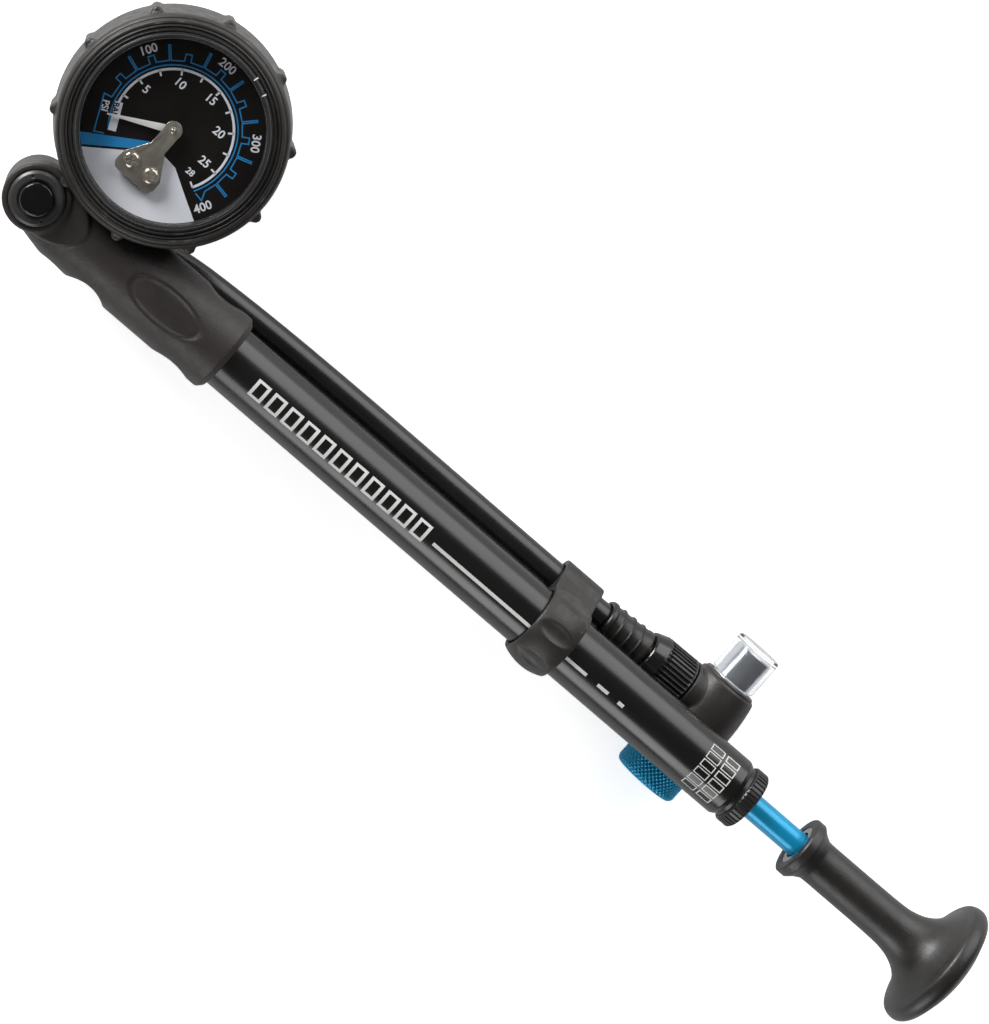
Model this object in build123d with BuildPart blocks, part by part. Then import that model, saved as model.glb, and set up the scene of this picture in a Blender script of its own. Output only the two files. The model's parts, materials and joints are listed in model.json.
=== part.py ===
from build123d import *

import os
from math import asin, cos, degrees, pi, radians, sin, tan

# A high-pressure hand pump for bicycle shocks. Sizes are in millimetres. Stations along the
# pump are measured on the barrel axis (+X towards the handle), the gauge stands to +Y of the
# barrel, and its dial faces +Z.

# Clearances
fit = 0.05  # seated parts of one body, radial
run = 0.1  # sliding and turning parts, radial
clear = 0.3  # between pieces that move past each other

# Barrel and rod
barrel_r, barrel_wall = 8.35, 1.75
bore_r = barrel_r - barrel_wall
barrel_start, barrel_end = -106.0, 92.8
rod_r = 3.4
bush_r = rod_r + 1.6
spigot_length = 12.0
end_cap_r = barrel_r - 0.05
end_cap_width = 4.1
end_cap_neck = 1.1
end_cap_neck_r = end_cap_r - 0.9
end_cap_teeth = 40
cap_face = barrel_end + end_cap_neck + end_cap_width
bush_length = 9.0
magnet_thickness = 1.9

# Head, boss and grip sleeve
boss_x = -138.0
head_r = barrel_r - 0.45
boss_core_r = head_r - 1.0
boss_r = boss_core_r + 1.7
sleeve_r = barrel_r + 2.55
boss_top, boss_bottom = sleeve_r + 1.1, -sleeve_r - 0.3
boss_round, fairing_drop = 0.6, 0.8
fairing_x, fairing_length, fairing_width = 4.0, 2 * boss_r + 5.2, 2 * boss_r - 2.4
sleeve_end = -76.6
sleeve_chamfer = 1.4
scallops = ((-113.9, 2.3, 6.0), (-86.3, 1.2, 5.6), (-125.3, 0.5, 4.5))  # station, depth, half width
plaque_x, plaque_length, plaque_width, plaque_depth = -97.0, 20.9, 8.7, 0.4
passage_r = 1.6

# Bleed valve
collar_r, collar_rise = boss_core_r, 1.5
shank_r, shank_depth = collar_r - 1.3, 6.0
button_r, button_rise, button_travel = shank_r - 1.45, 3.5, 2.5
stem_r, stem_length = 1.2, 10.0

# Gauge
case_r, case_wall = 24.4, 1.2
gauge_x, gauge_y = -123.9, sleeve_r + case_r - 1.1
case_back, case_front = -7.0, 12.6
boot_r, boot_rim_r, boot_back, boot_front = case_r + 5.2, case_r + 4.3, -9.5, 16.6
nub_height, nub_r, nub_count, nub_first = 0.8, 1.5, 10, 174.5
bezel_r, bezel_front = case_r + 1.9, 17.2
lens_r = bezel_r - 2.0
window_r, window_thickness = lens_r - 1.8, 1.5
dial_z, dial_thickness = 9.0, 0.6
port_stem_r = 4.4
spindle_r = 0.7
pointer_length, pointer_rest = window_r - 6.2, 207.0
screw_spacing, screw_drop, screw_r, post_r = 6.15, 12.0, 0.8, 1.6
coil_r, coil_width, coil_thickness = case_r - 8.4, 5.0, 2.0

# Hose, clip and end fittings
hose_r = 3.9
hose_y, hose_z = barrel_r + 2.05, -barrel_r - 2.65
washer_thickness = 0.7
banjo_r, banjo_height = hose_r + 3.1, 2 * hose_r - 0.2
banjo_z = boss_bottom - washer_thickness - banjo_height / 2
banjo_angle, banjo_stem = 13.0, boss_r + 1.9
bolt_r, bolt_head_r, bolt_head_height = 3.0, 5.2, 2.2
chuck_x = barrel_end - 14.8
clip_start, clip_end = chuck_x - 54.0, chuck_x - 42.0
clip_edge_r, clip_crown_r = barrel_r + 1.45, barrel_r + 2.85
clip_lobe_r = hose_r + 1.85
flute_r, flute_depth, flute_count, flute_first = 4.0, 1.0, 7, 61.0
relief_start, relief_end, relief_r = -39.6, -24.7, hose_r + 1.6
nut_start, nut_shoulder, nut_end = -24.0, -20.2, -10.3
nut_r, nut_ribs = hose_r + 3.4, 36
nut_small_r = nut_r - 1.1

# Chuck. Its stations are along +Y.
housing_r, housing_low, housing_high = 9.6, hose_y - 12.0, hose_y + 7.9
chuck_z = -(barrel_r + housing_r + 0.45)
neck_tilt = 10.0
neck_r, neck_spigot_r = nut_r, hose_r + 1.4
knob_r, knob_low, knob_high = 9.1, housing_low - 13.4, housing_low - 1.6
knob_pitch, knob_turns = 1.0, 1.4
thread_r = 4.0
guide_r, pin_r = 2.4, 0.9
valve_collar_r, valve_collar_end = 5.4, housing_high + 10.5
valve_thread_r, valve_thread_length = valve_collar_r - 1.8, 7.0
cap_r, cap_end_thickness, cap_top = valve_collar_r + 1.1, 1.4, valve_collar_end + 1.7

# Plunger
handle_face = cap_face + 16.8
handle_collar_r, handle_collar_end = barrel_r, handle_face + 3.1
stem_waist_r, stem_waist_start, stem_waist_end = 5.9, handle_face + 6.8, handle_face + 34.6
palm_r, palm_x, palm_rim, palm_dome = 18.0, handle_face + 48.5, 3.0, 3.0
piston_length, piston_gap = 9.0, 1.5
insert_r, insert_depth = rod_r + 2.2, 3.0
screw_pocket_r = 3.3

# The origin is under the middle of the pump, on the surface it lies on.
left_end = gauge_x - (boot_r + nub_height) * cos(radians(180 - nub_first))
right_end = palm_x + palm_rim + palm_dome
base = Vector(
    -(left_end + right_end) / 2,
    -(gauge_y + boot_r - palm_r) / 2,
    housing_r - chuck_z,
)


def lengthwise(x=0.0, y=0.0, z=0.0):
    """A plane through a point, its X along the barrel and its Y upwards."""
    return Plane(origin=base + Vector(x, y, z), x_dir=(1, 0, 0), z_dir=(0, -1, 0))


def crosswise(x=0.0, y=0.0, z=0.0):
    """A plane that faces along the barrel, its X to +Y and its Y upwards."""
    return Plane(origin=base + Vector(x, y, z), x_dir=(0, 1, 0), z_dir=(1, 0, 0))


def level(x=0.0, y=0.0, z=0.0):
    """A plane that faces up, its X along the barrel."""
    return Plane(origin=base + Vector(x, y, z), x_dir=(1, 0, 0), z_dir=(0, 0, 1))


def sideways(x=0.0, y=0.0, z=0.0):
    """A plane that faces +Y, its X along the barrel."""
    return Plane(origin=base + Vector(x, y, z), x_dir=(1, 0, 0), z_dir=(0, 1, 0))


def outline(plane, *points):
    """A flat face with straight sides, on a plane."""
    with BuildSketch(plane) as face:
        with BuildLine():
            Polyline(*points, close=True)
        make_face()
    return face.sketch


def box_outline(plane, r_in, r_out, low, high):
    """The section of a plain ring: two radii and two heights."""
    return outline(plane, (r_in, low), (r_out, low), (r_out, high), (r_in, high))


def spring(foot, radius, wire_r, height, turns):
    """A compression spring along a plane's normal, from the plane's origin."""
    with BuildPart() as wound:
        with BuildLine() as path:
            Helix(height / turns, height, radius, center=foot.origin, direction=foot.z_dir)
        start_plane = Plane(origin=path.line @ 0, z_dir=path.line % 0)
        with BuildSketch(start_plane):
            Circle(wire_r)
        sweep(path=path.line, is_frenet=True)
    return wound.part


barrel_axis = Axis(base, (1, 0, 0))
boss_axis = Axis(base + Vector(boss_x, 0, 0), (0, 0, 1))
gauge_axis = Axis(base + Vector(gauge_x, gauge_y, 0), (0, 0, 1))
chuck_axis = Axis(base + Vector(chuck_x, 0, chuck_z), (0, 1, 0))
barrel_plane = lengthwise()
boss_plane = lengthwise(boss_x)
gauge_plane = lengthwise(gauge_x, gauge_y)
chuck_plane = level(chuck_x, 0, chuck_z)  # outlines here are (radius, station along +Y)
neck_direction = Vector(cos(radians(neck_tilt)), 0, -sin(radians(neck_tilt)))
neck_origin = base + Vector(chuck_x, hose_y, chuck_z)
neck_plane = Plane(origin=neck_origin, x_dir=neck_direction, z_dir=(0, -1, 0))
neck_axis = Axis(neck_origin, neck_direction)


def across_neck(station):
    """A plane square to the chuck's neck, facing the chuck."""
    return Plane(
        origin=neck_origin + neck_direction * station, x_dir=(0, 1, 0), z_dir=neck_direction
    )


pieces = {}

# ---------------------------------------------------------------- barrel
with BuildPart() as barrel_tube:
    revolve(
        outline(
            barrel_plane,
            (barrel_start, bore_r),
            (barrel_start, barrel_r),
            (barrel_end - 1.2, barrel_r),
            (barrel_end, barrel_r - 0.6),
            (barrel_end, bore_r),
        ),
        barrel_axis,
    )
pieces["barrel_tube"] = barrel_tube

spigot_end = barrel_start + spigot_length
pocket_r, pocket_depth = 4.6, 13.0
seat_length, seat_hole_r, ball_r, ball_lift = 3.0, 1.5, 2.2, 0.8
seal_groove = 1.2

with BuildPart() as head_body:
    with BuildSketch(crosswise(boss_x)):
        Circle(head_r)
    extrude(amount=barrel_start - boss_x)
    with BuildSketch(level(boss_x, 0, boss_bottom)):
        Circle(boss_core_r)
    extrude(amount=boss_top - boss_bottom - 0.4)
    revolve(
        outline(
            barrel_plane,
            (barrel_start, 0),
            (barrel_start, bore_r - fit),
            (barrel_start + 4.0, bore_r - fit),
            (barrel_start + 4.0, bore_r - seal_groove),
            (barrel_start + 6.2, bore_r - seal_groove),
            (barrel_start + 6.2, bore_r - fit),
            (spigot_end, bore_r - fit),
            (spigot_end, 0),
        ),
        barrel_axis,
    )
    with BuildSketch(crosswise(spigot_end)):
        Circle(pocket_r)
    extrude(amount=-pocket_depth, mode=Mode.SUBTRACT)
    with BuildSketch(crosswise(spigot_end - pocket_depth)):
        Circle(passage_r)
    extrude(amount=boss_x - spigot_end + pocket_depth, mode=Mode.SUBTRACT)
    with BuildSketch(level(boss_x, 0, boss_top - shank_depth)):
        Circle(shank_r + fit)
    extrude(amount=shank_depth, mode=Mode.SUBTRACT)
    with BuildSketch(level(boss_x, 0, -1.5)):
        Circle(stem_r + 1.4)
    extrude(amount=boss_top, mode=Mode.SUBTRACT)
    with BuildSketch(level(boss_x, 0, boss_bottom)):
        Circle(bolt_r + fit)
    extrude(amount=6.5, mode=Mode.SUBTRACT)
    with BuildSketch(level(boss_x, 0, boss_bottom)):
        Circle(passage_r)
    extrude(amount=-boss_bottom, mode=Mode.SUBTRACT)
    with BuildSketch(sideways(gauge_x, 2.5)):
        Circle(port_stem_r + fit)
    extrude(amount=head_r, mode=Mode.SUBTRACT)
    with BuildSketch(sideways(gauge_x, 0)):
        Circle(passage_r)
    extrude(amount=4.0, mode=Mode.SUBTRACT)
pieces["head_body"] = head_body

with BuildPart() as head_seal_ring:
    revolve(
        outline(
            barrel_plane,
            (barrel_start + 4.1, bore_r - seal_groove + fit),
            (barrel_start + 4.1, bore_r - fit),
            (barrel_start + 6.1, bore_r - fit),
            (barrel_start + 6.1, bore_r - seal_groove + fit),
        ),
        barrel_axis,
    )
pieces["head_seal_ring"] = head_seal_ring

with BuildPart() as check_valve_seat:
    revolve(
        outline(
            barrel_plane,
            (spigot_end - seat_length, seat_hole_r),
            (spigot_end - seat_length, pocket_r - fit),
            (spigot_end, pocket_r - fit),
            (spigot_end, seat_hole_r),
        ),
        barrel_axis,
    )
pieces["check_valve_seat"] = check_valve_seat

# The ball rests on the rim of the seat's hole.
ball_x = spigot_end - seat_length - (ball_r**2 - seat_hole_r**2) ** 0.5 - 0.05
with BuildPart() as check_ball:
    with Locations(base + Vector(ball_x, 0, 0)):
        Sphere(ball_r)
pieces["check_ball"] = check_ball

pocket_floor = spigot_end - pocket_depth
check_spring_height = ball_x - ball_r - pocket_floor - ball_lift - 0.9
with BuildPart() as check_valve_spring:
    add(spring(crosswise(pocket_floor + 0.4), 1.6, 0.3, check_spring_height, 3))
pieces["check_valve_spring"] = check_valve_spring

magnet_r = end_cap_r - 1.7
with BuildPart() as barrel_end_cap:
    revolve(
        outline(
            barrel_plane,
            (barrel_end - bush_length - 2.0, bush_r),
            (barrel_end - bush_length - 2.0, bore_r - fit),
            (barrel_end, bore_r - fit),
            (barrel_end, end_cap_neck_r),
            (barrel_end + end_cap_neck, end_cap_neck_r),
            (barrel_end + end_cap_neck, end_cap_r - 0.4),
            (barrel_end + end_cap_neck + 0.4, end_cap_r),
            (cap_face - 0.5, end_cap_r),
            (cap_face, end_cap_r - 0.5),
            (cap_face, rod_r + 0.9),
            (barrel_end + end_cap_neck + 0.4, rod_r + 0.9),
            (barrel_end + end_cap_neck + 0.4, bush_r),
        ),
        barrel_axis,
    )
    with BuildSketch(crosswise(barrel_end + end_cap_neck + 0.8)):
        with PolarLocations(end_cap_r + 0.1, end_cap_teeth):
            Circle(0.35)
    extrude(amount=end_cap_width, mode=Mode.SUBTRACT)
    # a ring pocket for the magnet in the outer face
    with BuildSketch(crosswise(cap_face)):
        Circle(magnet_r)
        Circle(bush_r, mode=Mode.SUBTRACT)
    extrude(amount=-magnet_thickness - run, mode=Mode.SUBTRACT)
pieces["barrel_end_cap"] = barrel_end_cap

with BuildPart() as cap_magnet:
    with BuildSketch(crosswise(cap_face - magnet_thickness - run)):
        Circle(magnet_r - fit)
        Circle(bush_r + fit, mode=Mode.SUBTRACT)
    extrude(amount=magnet_thickness)
pieces["cap_magnet"] = cap_magnet

with BuildPart() as rod_guide_bush:
    with BuildSketch(crosswise(barrel_end - bush_length - 2.0)):
        Circle(bush_r - fit)
        Circle(rod_r + fit, mode=Mode.SUBTRACT)
    extrude(amount=bush_length)
pieces["rod_guide_bush"] = rod_guide_bush

with BuildPart() as rod_wiper_seal:
    with BuildSketch(crosswise(barrel_end - 1.8)):
        Circle(bush_r - fit)
        Circle(rod_r + run, mode=Mode.SUBTRACT)
    extrude(amount=end_cap_neck + 2.0)
pieces["rod_wiper_seal"] = rod_wiper_seal

# ---------------------------------------------------------------- grip sleeve
with BuildPart() as grip_sleeve:
    revolve(
        outline(
            barrel_plane,
            (boss_x, 0),
            (boss_x, boss_r),
            (boss_x + 5.0, sleeve_r - 1.1),
            (boss_x + 10.0, sleeve_r),
            (sleeve_end - sleeve_chamfer, sleeve_r),
            (sleeve_end, sleeve_r - sleeve_chamfer),
            (sleeve_end, 0),
        ),
        barrel_axis,
    )
    with BuildSketch(level(boss_x, 0, boss_bottom)):
        Circle(boss_r)
    extrude(amount=boss_top - boss_bottom)
    # a low oval fairing runs from the boss to the sleeve
    with BuildSketch(level(boss_x, 0, 0)):
        with Locations((fairing_x, 0)):
            Ellipse(fairing_length / 2, fairing_width / 2)
    extrude(amount=boss_top - fairing_drop)
    fillet(grip_sleeve.edges().filter_by(GeomType.CIRCLE).group_by(Axis.Z)[-1], boss_round)
    # room for the head and the barrel
    with BuildSketch(crosswise(boss_x)):
        Circle(head_r + fit)
    extrude(amount=barrel_start - boss_x, mode=Mode.SUBTRACT)
    with BuildSketch(crosswise(barrel_start)):
        Circle(barrel_r + fit)
    extrude(amount=sleeve_end - barrel_start, mode=Mode.SUBTRACT)
    with BuildSketch(level(boss_x, 0, boss_bottom)):
        Circle(boss_core_r + fit)
    extrude(amount=boss_top - boss_bottom, mode=Mode.SUBTRACT)
    # finger scallops on both flanks
    for station, depth, half in scallops:
        scoop_r = (half**2 + depth**2) / (2 * depth)
        for side in (-1, 1):
            if side > 0 and station < gauge_x + case_r:
                continue
            with BuildSketch(level(station, side * (sleeve_r + scoop_r - depth), -sleeve_r)):
                Circle(scoop_r)
            extrude(amount=2 * sleeve_r, mode=Mode.SUBTRACT)
    # an oval recess on the front
    with BuildSketch(level(plaque_x, 0, sleeve_r - plaque_depth)):
        Ellipse(plaque_length / 2, plaque_width / 2)
    extrude(amount=1.0, mode=Mode.SUBTRACT)
    # a saddle for the gauge case and a hole for its stem
    with BuildSketch(level(gauge_x, gauge_y, -sleeve_r - 1)):
        Circle(case_r + fit)
    extrude(amount=2 * sleeve_r + 3, mode=Mode.SUBTRACT)
    with BuildSketch(sideways(gauge_x, 2.0)):
        Circle(port_stem_r + clear)
    extrude(amount=sleeve_r, mode=Mode.SUBTRACT)
pieces["grip_sleeve"] = grip_sleeve

# ---------------------------------------------------------------- bleed valve
collar_floor = boss_top - shank_depth
with BuildPart() as bleed_collar:
    revolve(
        outline(
            boss_plane,
            (button_r + run, collar_floor + 2.0),
            (shank_r, collar_floor + 2.0),
            (shank_r, boss_top + fit),
            (collar_r, boss_top + fit),
            (collar_r, boss_top + collar_rise - 0.4),
            (collar_r - 0.4, boss_top + collar_rise),
            (button_r + 0.5, boss_top + collar_rise),
            (button_r + run, boss_top + collar_rise - 0.4),
        ),
        boss_axis,
    )
    with BuildSketch(level(boss_x, 0, boss_top + collar_rise)):
        with PolarLocations((collar_r + button_r) / 2, 2, start_angle=140):
            Circle(0.55)
    extrude(amount=-0.8, mode=Mode.SUBTRACT)
pieces["bleed_collar"] = bleed_collar

button_top = boss_top + button_rise
button_bottom = collar_floor + button_travel + 1.1
with BuildPart() as bleed_button:
    revolve(
        outline(
            boss_plane,
            (0, button_top - stem_length - 5.0),
            (stem_r, button_top - stem_length - 5.0),
            (stem_r, button_bottom),
            (button_r, button_bottom),
            (button_r, button_top - 0.8),
            (button_r - 0.25, button_top - 0.3),
            (button_r - 0.8, button_top),
            (0, button_top),
        ),
        boss_axis,
    )
pieces["bleed_button"] = bleed_button

with BuildPart() as bleed_spring:
    add(spring(level(boss_x, 0, -0.9), 1.9, 0.3, button_bottom + 0.5, 7))
pieces["bleed_spring"] = bleed_spring

with BuildPart() as bleed_stem_seal:
    revolve(box_outline(boss_plane, stem_r + fit, stem_r + 0.4, -1.4, 0.4), boss_axis)
pieces["bleed_stem_seal"] = bleed_stem_seal

# ---------------------------------------------------------------- gauge
case_floor = case_back + 1.4
dial_r = case_r - case_wall - 0.1
with BuildPart() as gauge_case:
    revolve(
        outline(
            gauge_plane,
            (0, case_back),
            (case_r - 1.5, case_back),
            (case_r, case_back + 1.5),
            (case_r, case_front),
            (dial_r + 0.1, case_front),
            (dial_r + 0.1, dial_z),
            (dial_r - 1.2, dial_z),
            (dial_r - 1.2, dial_z - 1.5),
            (dial_r + 0.1, dial_z - 3.0),
            (dial_r + 0.1, case_floor),
            (0, case_floor),
        ),
        gauge_axis,
    )
    with BuildSketch(sideways(gauge_x, gauge_y - case_r - 1)):
        Circle(port_stem_r + fit)
    extrude(amount=case_wall + 3.0, mode=Mode.SUBTRACT)
pieces["gauge_case"] = gauge_case

boot_bore = case_r + fit
with BuildPart() as gauge_boot:
    revolve(
        outline(
            gauge_plane,
            (14.0, boot_back),
            (boot_r - 2.2, boot_back),
            (boot_r - 0.6, boot_back + 0.8),
            (boot_r, boot_back + 2.4),
            (boot_rim_r, boot_front - 3.2),
            (boot_rim_r - 0.5, boot_front - 1.6),
            (boot_rim_r - 1.3, boot_front - 0.6),
            (boot_rim_r - 1.5, boot_front - 1.1),
            (boot_rim_r - 1.9, boot_front),
            (bezel_r + 0.3, boot_front),
            (bezel_r + fit, boot_front - 0.4),
            (bezel_r + fit, case_front - 0.2),
            (boot_bore, case_front - 0.2),
            (boot_bore, case_back - fit),
            (14.0, case_back - fit),
        ),
        gauge_axis,
    )
    for n in range(nub_count):
        angle = radians(nub_first - n * 360 / nub_count)
        with BuildSketch(
            level(
                gauge_x + (boot_r + nub_height - nub_r) * cos(angle),
                gauge_y + (boot_r + nub_height - nub_r) * sin(angle),
                boot_back + 3.0,
            )
        ):
            Circle(nub_r)
        extrude(amount=boot_front - boot_back - 6.5)
    # the ribs stay clear of the case
    with BuildSketch(level(gauge_x, gauge_y, case_back - fit)):
        Circle(boot_bore)
    extrude(amount=case_front - case_back, mode=Mode.SUBTRACT)
    # the boot is cut away round the grip sleeve and the boss
    with BuildSketch(crosswise(boss_x - boss_r - 12)):
        Circle(sleeve_r + clear)
    extrude(amount=70.0, mode=Mode.SUBTRACT)
    with BuildSketch(level(boss_x, 0, boot_back - 1)):
        with Locations((0, 0)):
            Circle(boss_r + clear)
        with Locations((fairing_x, 0)):
            Ellipse(fairing_length / 2 + clear, fairing_width / 2 + clear)
    extrude(amount=boss_top + clear - boot_back + 1, mode=Mode.SUBTRACT)
    # room behind for the hose
    with BuildSketch(level(gauge_x, 0, boot_back - 1)):
        Rectangle(80, 2 * (hose_y + hose_r + 1))
    extrude(amount=1 - case_floor, mode=Mode.SUBTRACT)
pieces["gauge_boot"] = gauge_boot

lens_seat = case_front + 1.0
with BuildPart() as gauge_bezel:
    revolve(
        outline(
            gauge_plane,
            (window_r, case_front + fit),
            (bezel_r, case_front + fit),
            (bezel_r, bezel_front - 1.0),
            (bezel_r - 0.7, bezel_front - 0.3),
            (bezel_r - 1.0, bezel_front - 0.7),
            (bezel_r - 1.3, bezel_front),
            (lens_r + 0.3, bezel_front),
            (lens_r + fit, bezel_front - 0.3),
            (lens_r + fit, lens_seat),
            (window_r, lens_seat),
        ),
        gauge_axis,
    )
pieces["gauge_bezel"] = gauge_bezel

gasket_thickness = 0.5
with BuildPart() as lens_gasket:
    revolve(
        box_outline(gauge_plane, window_r + 0.2, lens_r - 0.1, lens_seat, lens_seat + gasket_thickness),
        gauge_axis,
    )
pieces["lens_gasket"] = lens_gasket

window_top = bezel_front - 1.1
with BuildPart() as gauge_lens:
    revolve(
        outline(
            gauge_plane,
            (0, window_top - window_thickness),
            (window_r, window_top - window_thickness),
            (window_r + 0.3, lens_seat + gasket_thickness),
            (lens_r, lens_seat + gasket_thickness),
            (lens_r, bezel_front - 0.2),
            (lens_r - 0.5, bezel_front + 0.2),
            (window_r + 0.5, bezel_front + 0.2),
            (window_r, window_top),
            (0, window_top),
        ),
        gauge_axis,
    )
pieces["gauge_lens"] = gauge_lens

sleeve_post_r = 1.2
with BuildPart() as gauge_dial:
    with BuildSketch(level(gauge_x, gauge_y, dial_z + fit)):
        Circle(dial_r)
        Circle(2.2, mode=Mode.SUBTRACT)
        for side in (-1, 1):
            with Locations((side * screw_spacing / 2, -screw_drop)):
                Circle(sleeve_post_r + clear, mode=Mode.SUBTRACT)
    extrude(amount=dial_thickness)
pieces["gauge_dial"] = gauge_dial
dial_top = dial_z + fit + dial_thickness

with BuildPart() as gauge_stem:
    with BuildSketch(sideways(gauge_x, 2.6)):
        Circle(port_stem_r)
    extrude(amount=gauge_y - case_r + case_wall + 1.2 - 2.6)
    with BuildSketch(sideways(gauge_x, 2.6)):
        Circle(1.2)
    extrude(amount=40, mode=Mode.SUBTRACT)
    # groove for its seal
    groove = outline(
        level(gauge_x, 0, 0),
        (port_stem_r - 0.9, 4.0),
        (port_stem_r + 1.0, 4.0),
        (port_stem_r + 1.0, 5.6),
        (port_stem_r - 0.9, 5.6),
    )
    revolve(groove, Axis(base + Vector(gauge_x, 0, 0), (0, 1, 0)), mode=Mode.SUBTRACT)
pieces["gauge_stem"] = gauge_stem

with BuildPart() as gauge_stem_seal:
    revolve(
        box_outline(level(gauge_x, 0, 0), port_stem_r - 0.9 + fit, port_stem_r, 4.1, 5.5),
        Axis(base + Vector(gauge_x, 0, 0), (0, 1, 0)),
    )
pieces["gauge_stem_seal"] = gauge_stem_seal

# The movement block carries the curved tube, the spindle and the bridge's screws.
block_start = gauge_y - case_r + case_wall + 1.2
post_top = dial_z - 0.3
with BuildPart() as movement_block:
    with BuildSketch(sideways(gauge_x, block_start)):
        Rectangle(8.0, 8.0)
    extrude(amount=6.0)
    with BuildSketch(level(gauge_x, (block_start + gauge_y) / 2 + 1.0, -2.0)):
        Rectangle(5.0, gauge_y - block_start + 2.0)
    extrude(amount=3.0)
    with BuildSketch(level(gauge_x, gauge_y, -4.0)):
        Circle(2.6)
    extrude(amount=post_top + 4.0)
    with BuildSketch(level(gauge_x, gauge_y, -4.5)):
        Circle(spindle_r + run)
    extrude(amount=post_top + 5.0, mode=Mode.SUBTRACT)
    for side in (-1, 1):
        with BuildSketch(level(gauge_x + side * screw_spacing / 2, gauge_y - screw_drop, -1.0)):
            Circle(post_r)
        extrude(amount=post_top + 1.0)
        with BuildSketch(level(gauge_x + side * screw_spacing / 2, gauge_y - screw_drop, 0)):
            Circle(screw_r)
        extrude(amount=post_top + 1.0, mode=Mode.SUBTRACT)
pieces["movement_block"] = movement_block

coil_start = -90 + degrees(asin(4.6 / coil_r))
with BuildPart() as bourdon_tube:
    with BuildSketch(
        Plane(
            origin=base
            + Vector(
                gauge_x + coil_r * cos(radians(coil_start)),
                gauge_y + coil_r * sin(radians(coil_start)),
                1.0,
            ),
            x_dir=(cos(radians(coil_start)), sin(radians(coil_start)), 0),
            z_dir=(-sin(radians(coil_start)), cos(radians(coil_start)), 0),
        )
    ):
        Ellipse(coil_thickness / 2, coil_width / 2)
    revolve(axis=gauge_axis, revolution_arc=255)
pieces["bourdon_tube"] = bourdon_tube

pointer_z = dial_top + 0.9
with BuildPart() as pointer_spindle:
    with BuildSketch(level(gauge_x, gauge_y, -3.5)):
        Circle(spindle_r)
    extrude(amount=pointer_z + 2.9 + 3.5)
pieces["pointer_spindle"] = pointer_spindle

with BuildPart() as gauge_pointer:
    with BuildSketch(level(gauge_x, gauge_y, pointer_z).rotated((0, 0, pointer_rest))):
        Circle(1.8)
        with BuildLine():
            Polyline((0, 1.5), (pointer_length, 0.25), (pointer_length, -0.25), (0, -1.5), close=True)
        make_face()
        Circle(spindle_r, mode=Mode.SUBTRACT)
    extrude(amount=0.5)
pieces["gauge_pointer"] = gauge_pointer

bridge_z = pointer_z + 1.1
bridge_thickness = 0.7
eye_r, shank_half = 2.25, 2.15
flare_start, flare_end = 5.6, 11.8
plate_width, plate_end, plate_round = 11.9, 16.0, 2.0
screw_head_r = 2.0
with BuildPart() as movement_bridge:
    with BuildSketch(level(gauge_x, gauge_y, bridge_z)):
        with BuildLine():
            Polyline(
                (-shank_half, 0),
                (-shank_half, -flare_start),
                (-plate_width / 2, -flare_end),
                (-plate_width / 2, -plate_end),
                (plate_width / 2, -plate_end),
                (plate_width / 2, -flare_end),
                (shank_half, -flare_start),
                (shank_half, 0),
                close=True,
            )
        make_face()
        fillet(vertices().group_by(Axis.Y)[0], plate_round)
        Circle(eye_r)
        Circle(spindle_r + run, mode=Mode.SUBTRACT)
        for side in (-1, 1):
            with Locations((side * screw_spacing / 2, -screw_drop)):
                Circle(screw_r, mode=Mode.SUBTRACT)
    extrude(amount=bridge_thickness)
    for side in (-1, 1):
        with BuildSketch(level(gauge_x + side * screw_spacing / 2, gauge_y - screw_drop, post_top + fit)):
            Circle(sleeve_post_r)
            Circle(screw_r, mode=Mode.SUBTRACT)
        extrude(amount=bridge_z - post_top - fit)
pieces["movement_bridge"] = movement_bridge

screw_base = bridge_z + bridge_thickness
with BuildPart() as movement_screws:
    for side in (-1, 1):
        x, y = gauge_x + side * screw_spacing / 2, gauge_y - screw_drop
        with BuildSketch(level(x, y, 1.0)):
            Circle(screw_r - fit)
        extrude(amount=screw_base - 1.0)
        with BuildSketch(level(x, y, screw_base)):
            Circle(screw_head_r)
        extrude(amount=1.0)
        with BuildSketch(level(x, y, screw_base + 1.0).rotated((0, 0, 30 + 40 * side))):
            Rectangle(2.4, 0.45)
            Rectangle(0.45, 2.4)
        extrude(amount=-0.5, mode=Mode.SUBTRACT)
pieces["movement_screws"] = movement_screws

# ---------------------------------------------------------------- hose
banjo_stem_r = hose_r - 0.4
banjo_low = banjo_z - banjo_height / 2
banjo_high = banjo_z + banjo_height / 2
with BuildPart() as hose_banjo:
    with BuildSketch(level(boss_x, 0, banjo_low)):
        Circle(banjo_r)
    extrude(amount=banjo_height)
    stem_plane = Plane(
        origin=base + Vector(boss_x, 0, banjo_z),
        x_dir=(0, 0, 1),
        z_dir=(cos(radians(banjo_angle)), sin(radians(banjo_angle)), 0),
    )
    with BuildSketch(stem_plane):
        Circle(banjo_stem_r)
    extrude(amount=banjo_stem)
    with BuildSketch(level(boss_x, 0, banjo_low)):
        Circle(bolt_r + fit)
    extrude(amount=banjo_height, mode=Mode.SUBTRACT)
    with BuildSketch(stem_plane):
        Circle(1.2)
    extrude(amount=banjo_r + 3.0, mode=Mode.SUBTRACT)
pieces["hose_banjo"] = hose_banjo

with BuildPart() as banjo_seals:
    for low in (banjo_low - washer_thickness, banjo_high):
        with BuildSketch(level(boss_x, 0, low)):
            Circle(bolt_head_r - 0.2)
            Circle(bolt_r + fit, mode=Mode.SUBTRACT)
        extrude(amount=washer_thickness if low < banjo_z else boss_bottom - banjo_high)
pieces["banjo_seals"] = banjo_seals

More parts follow.
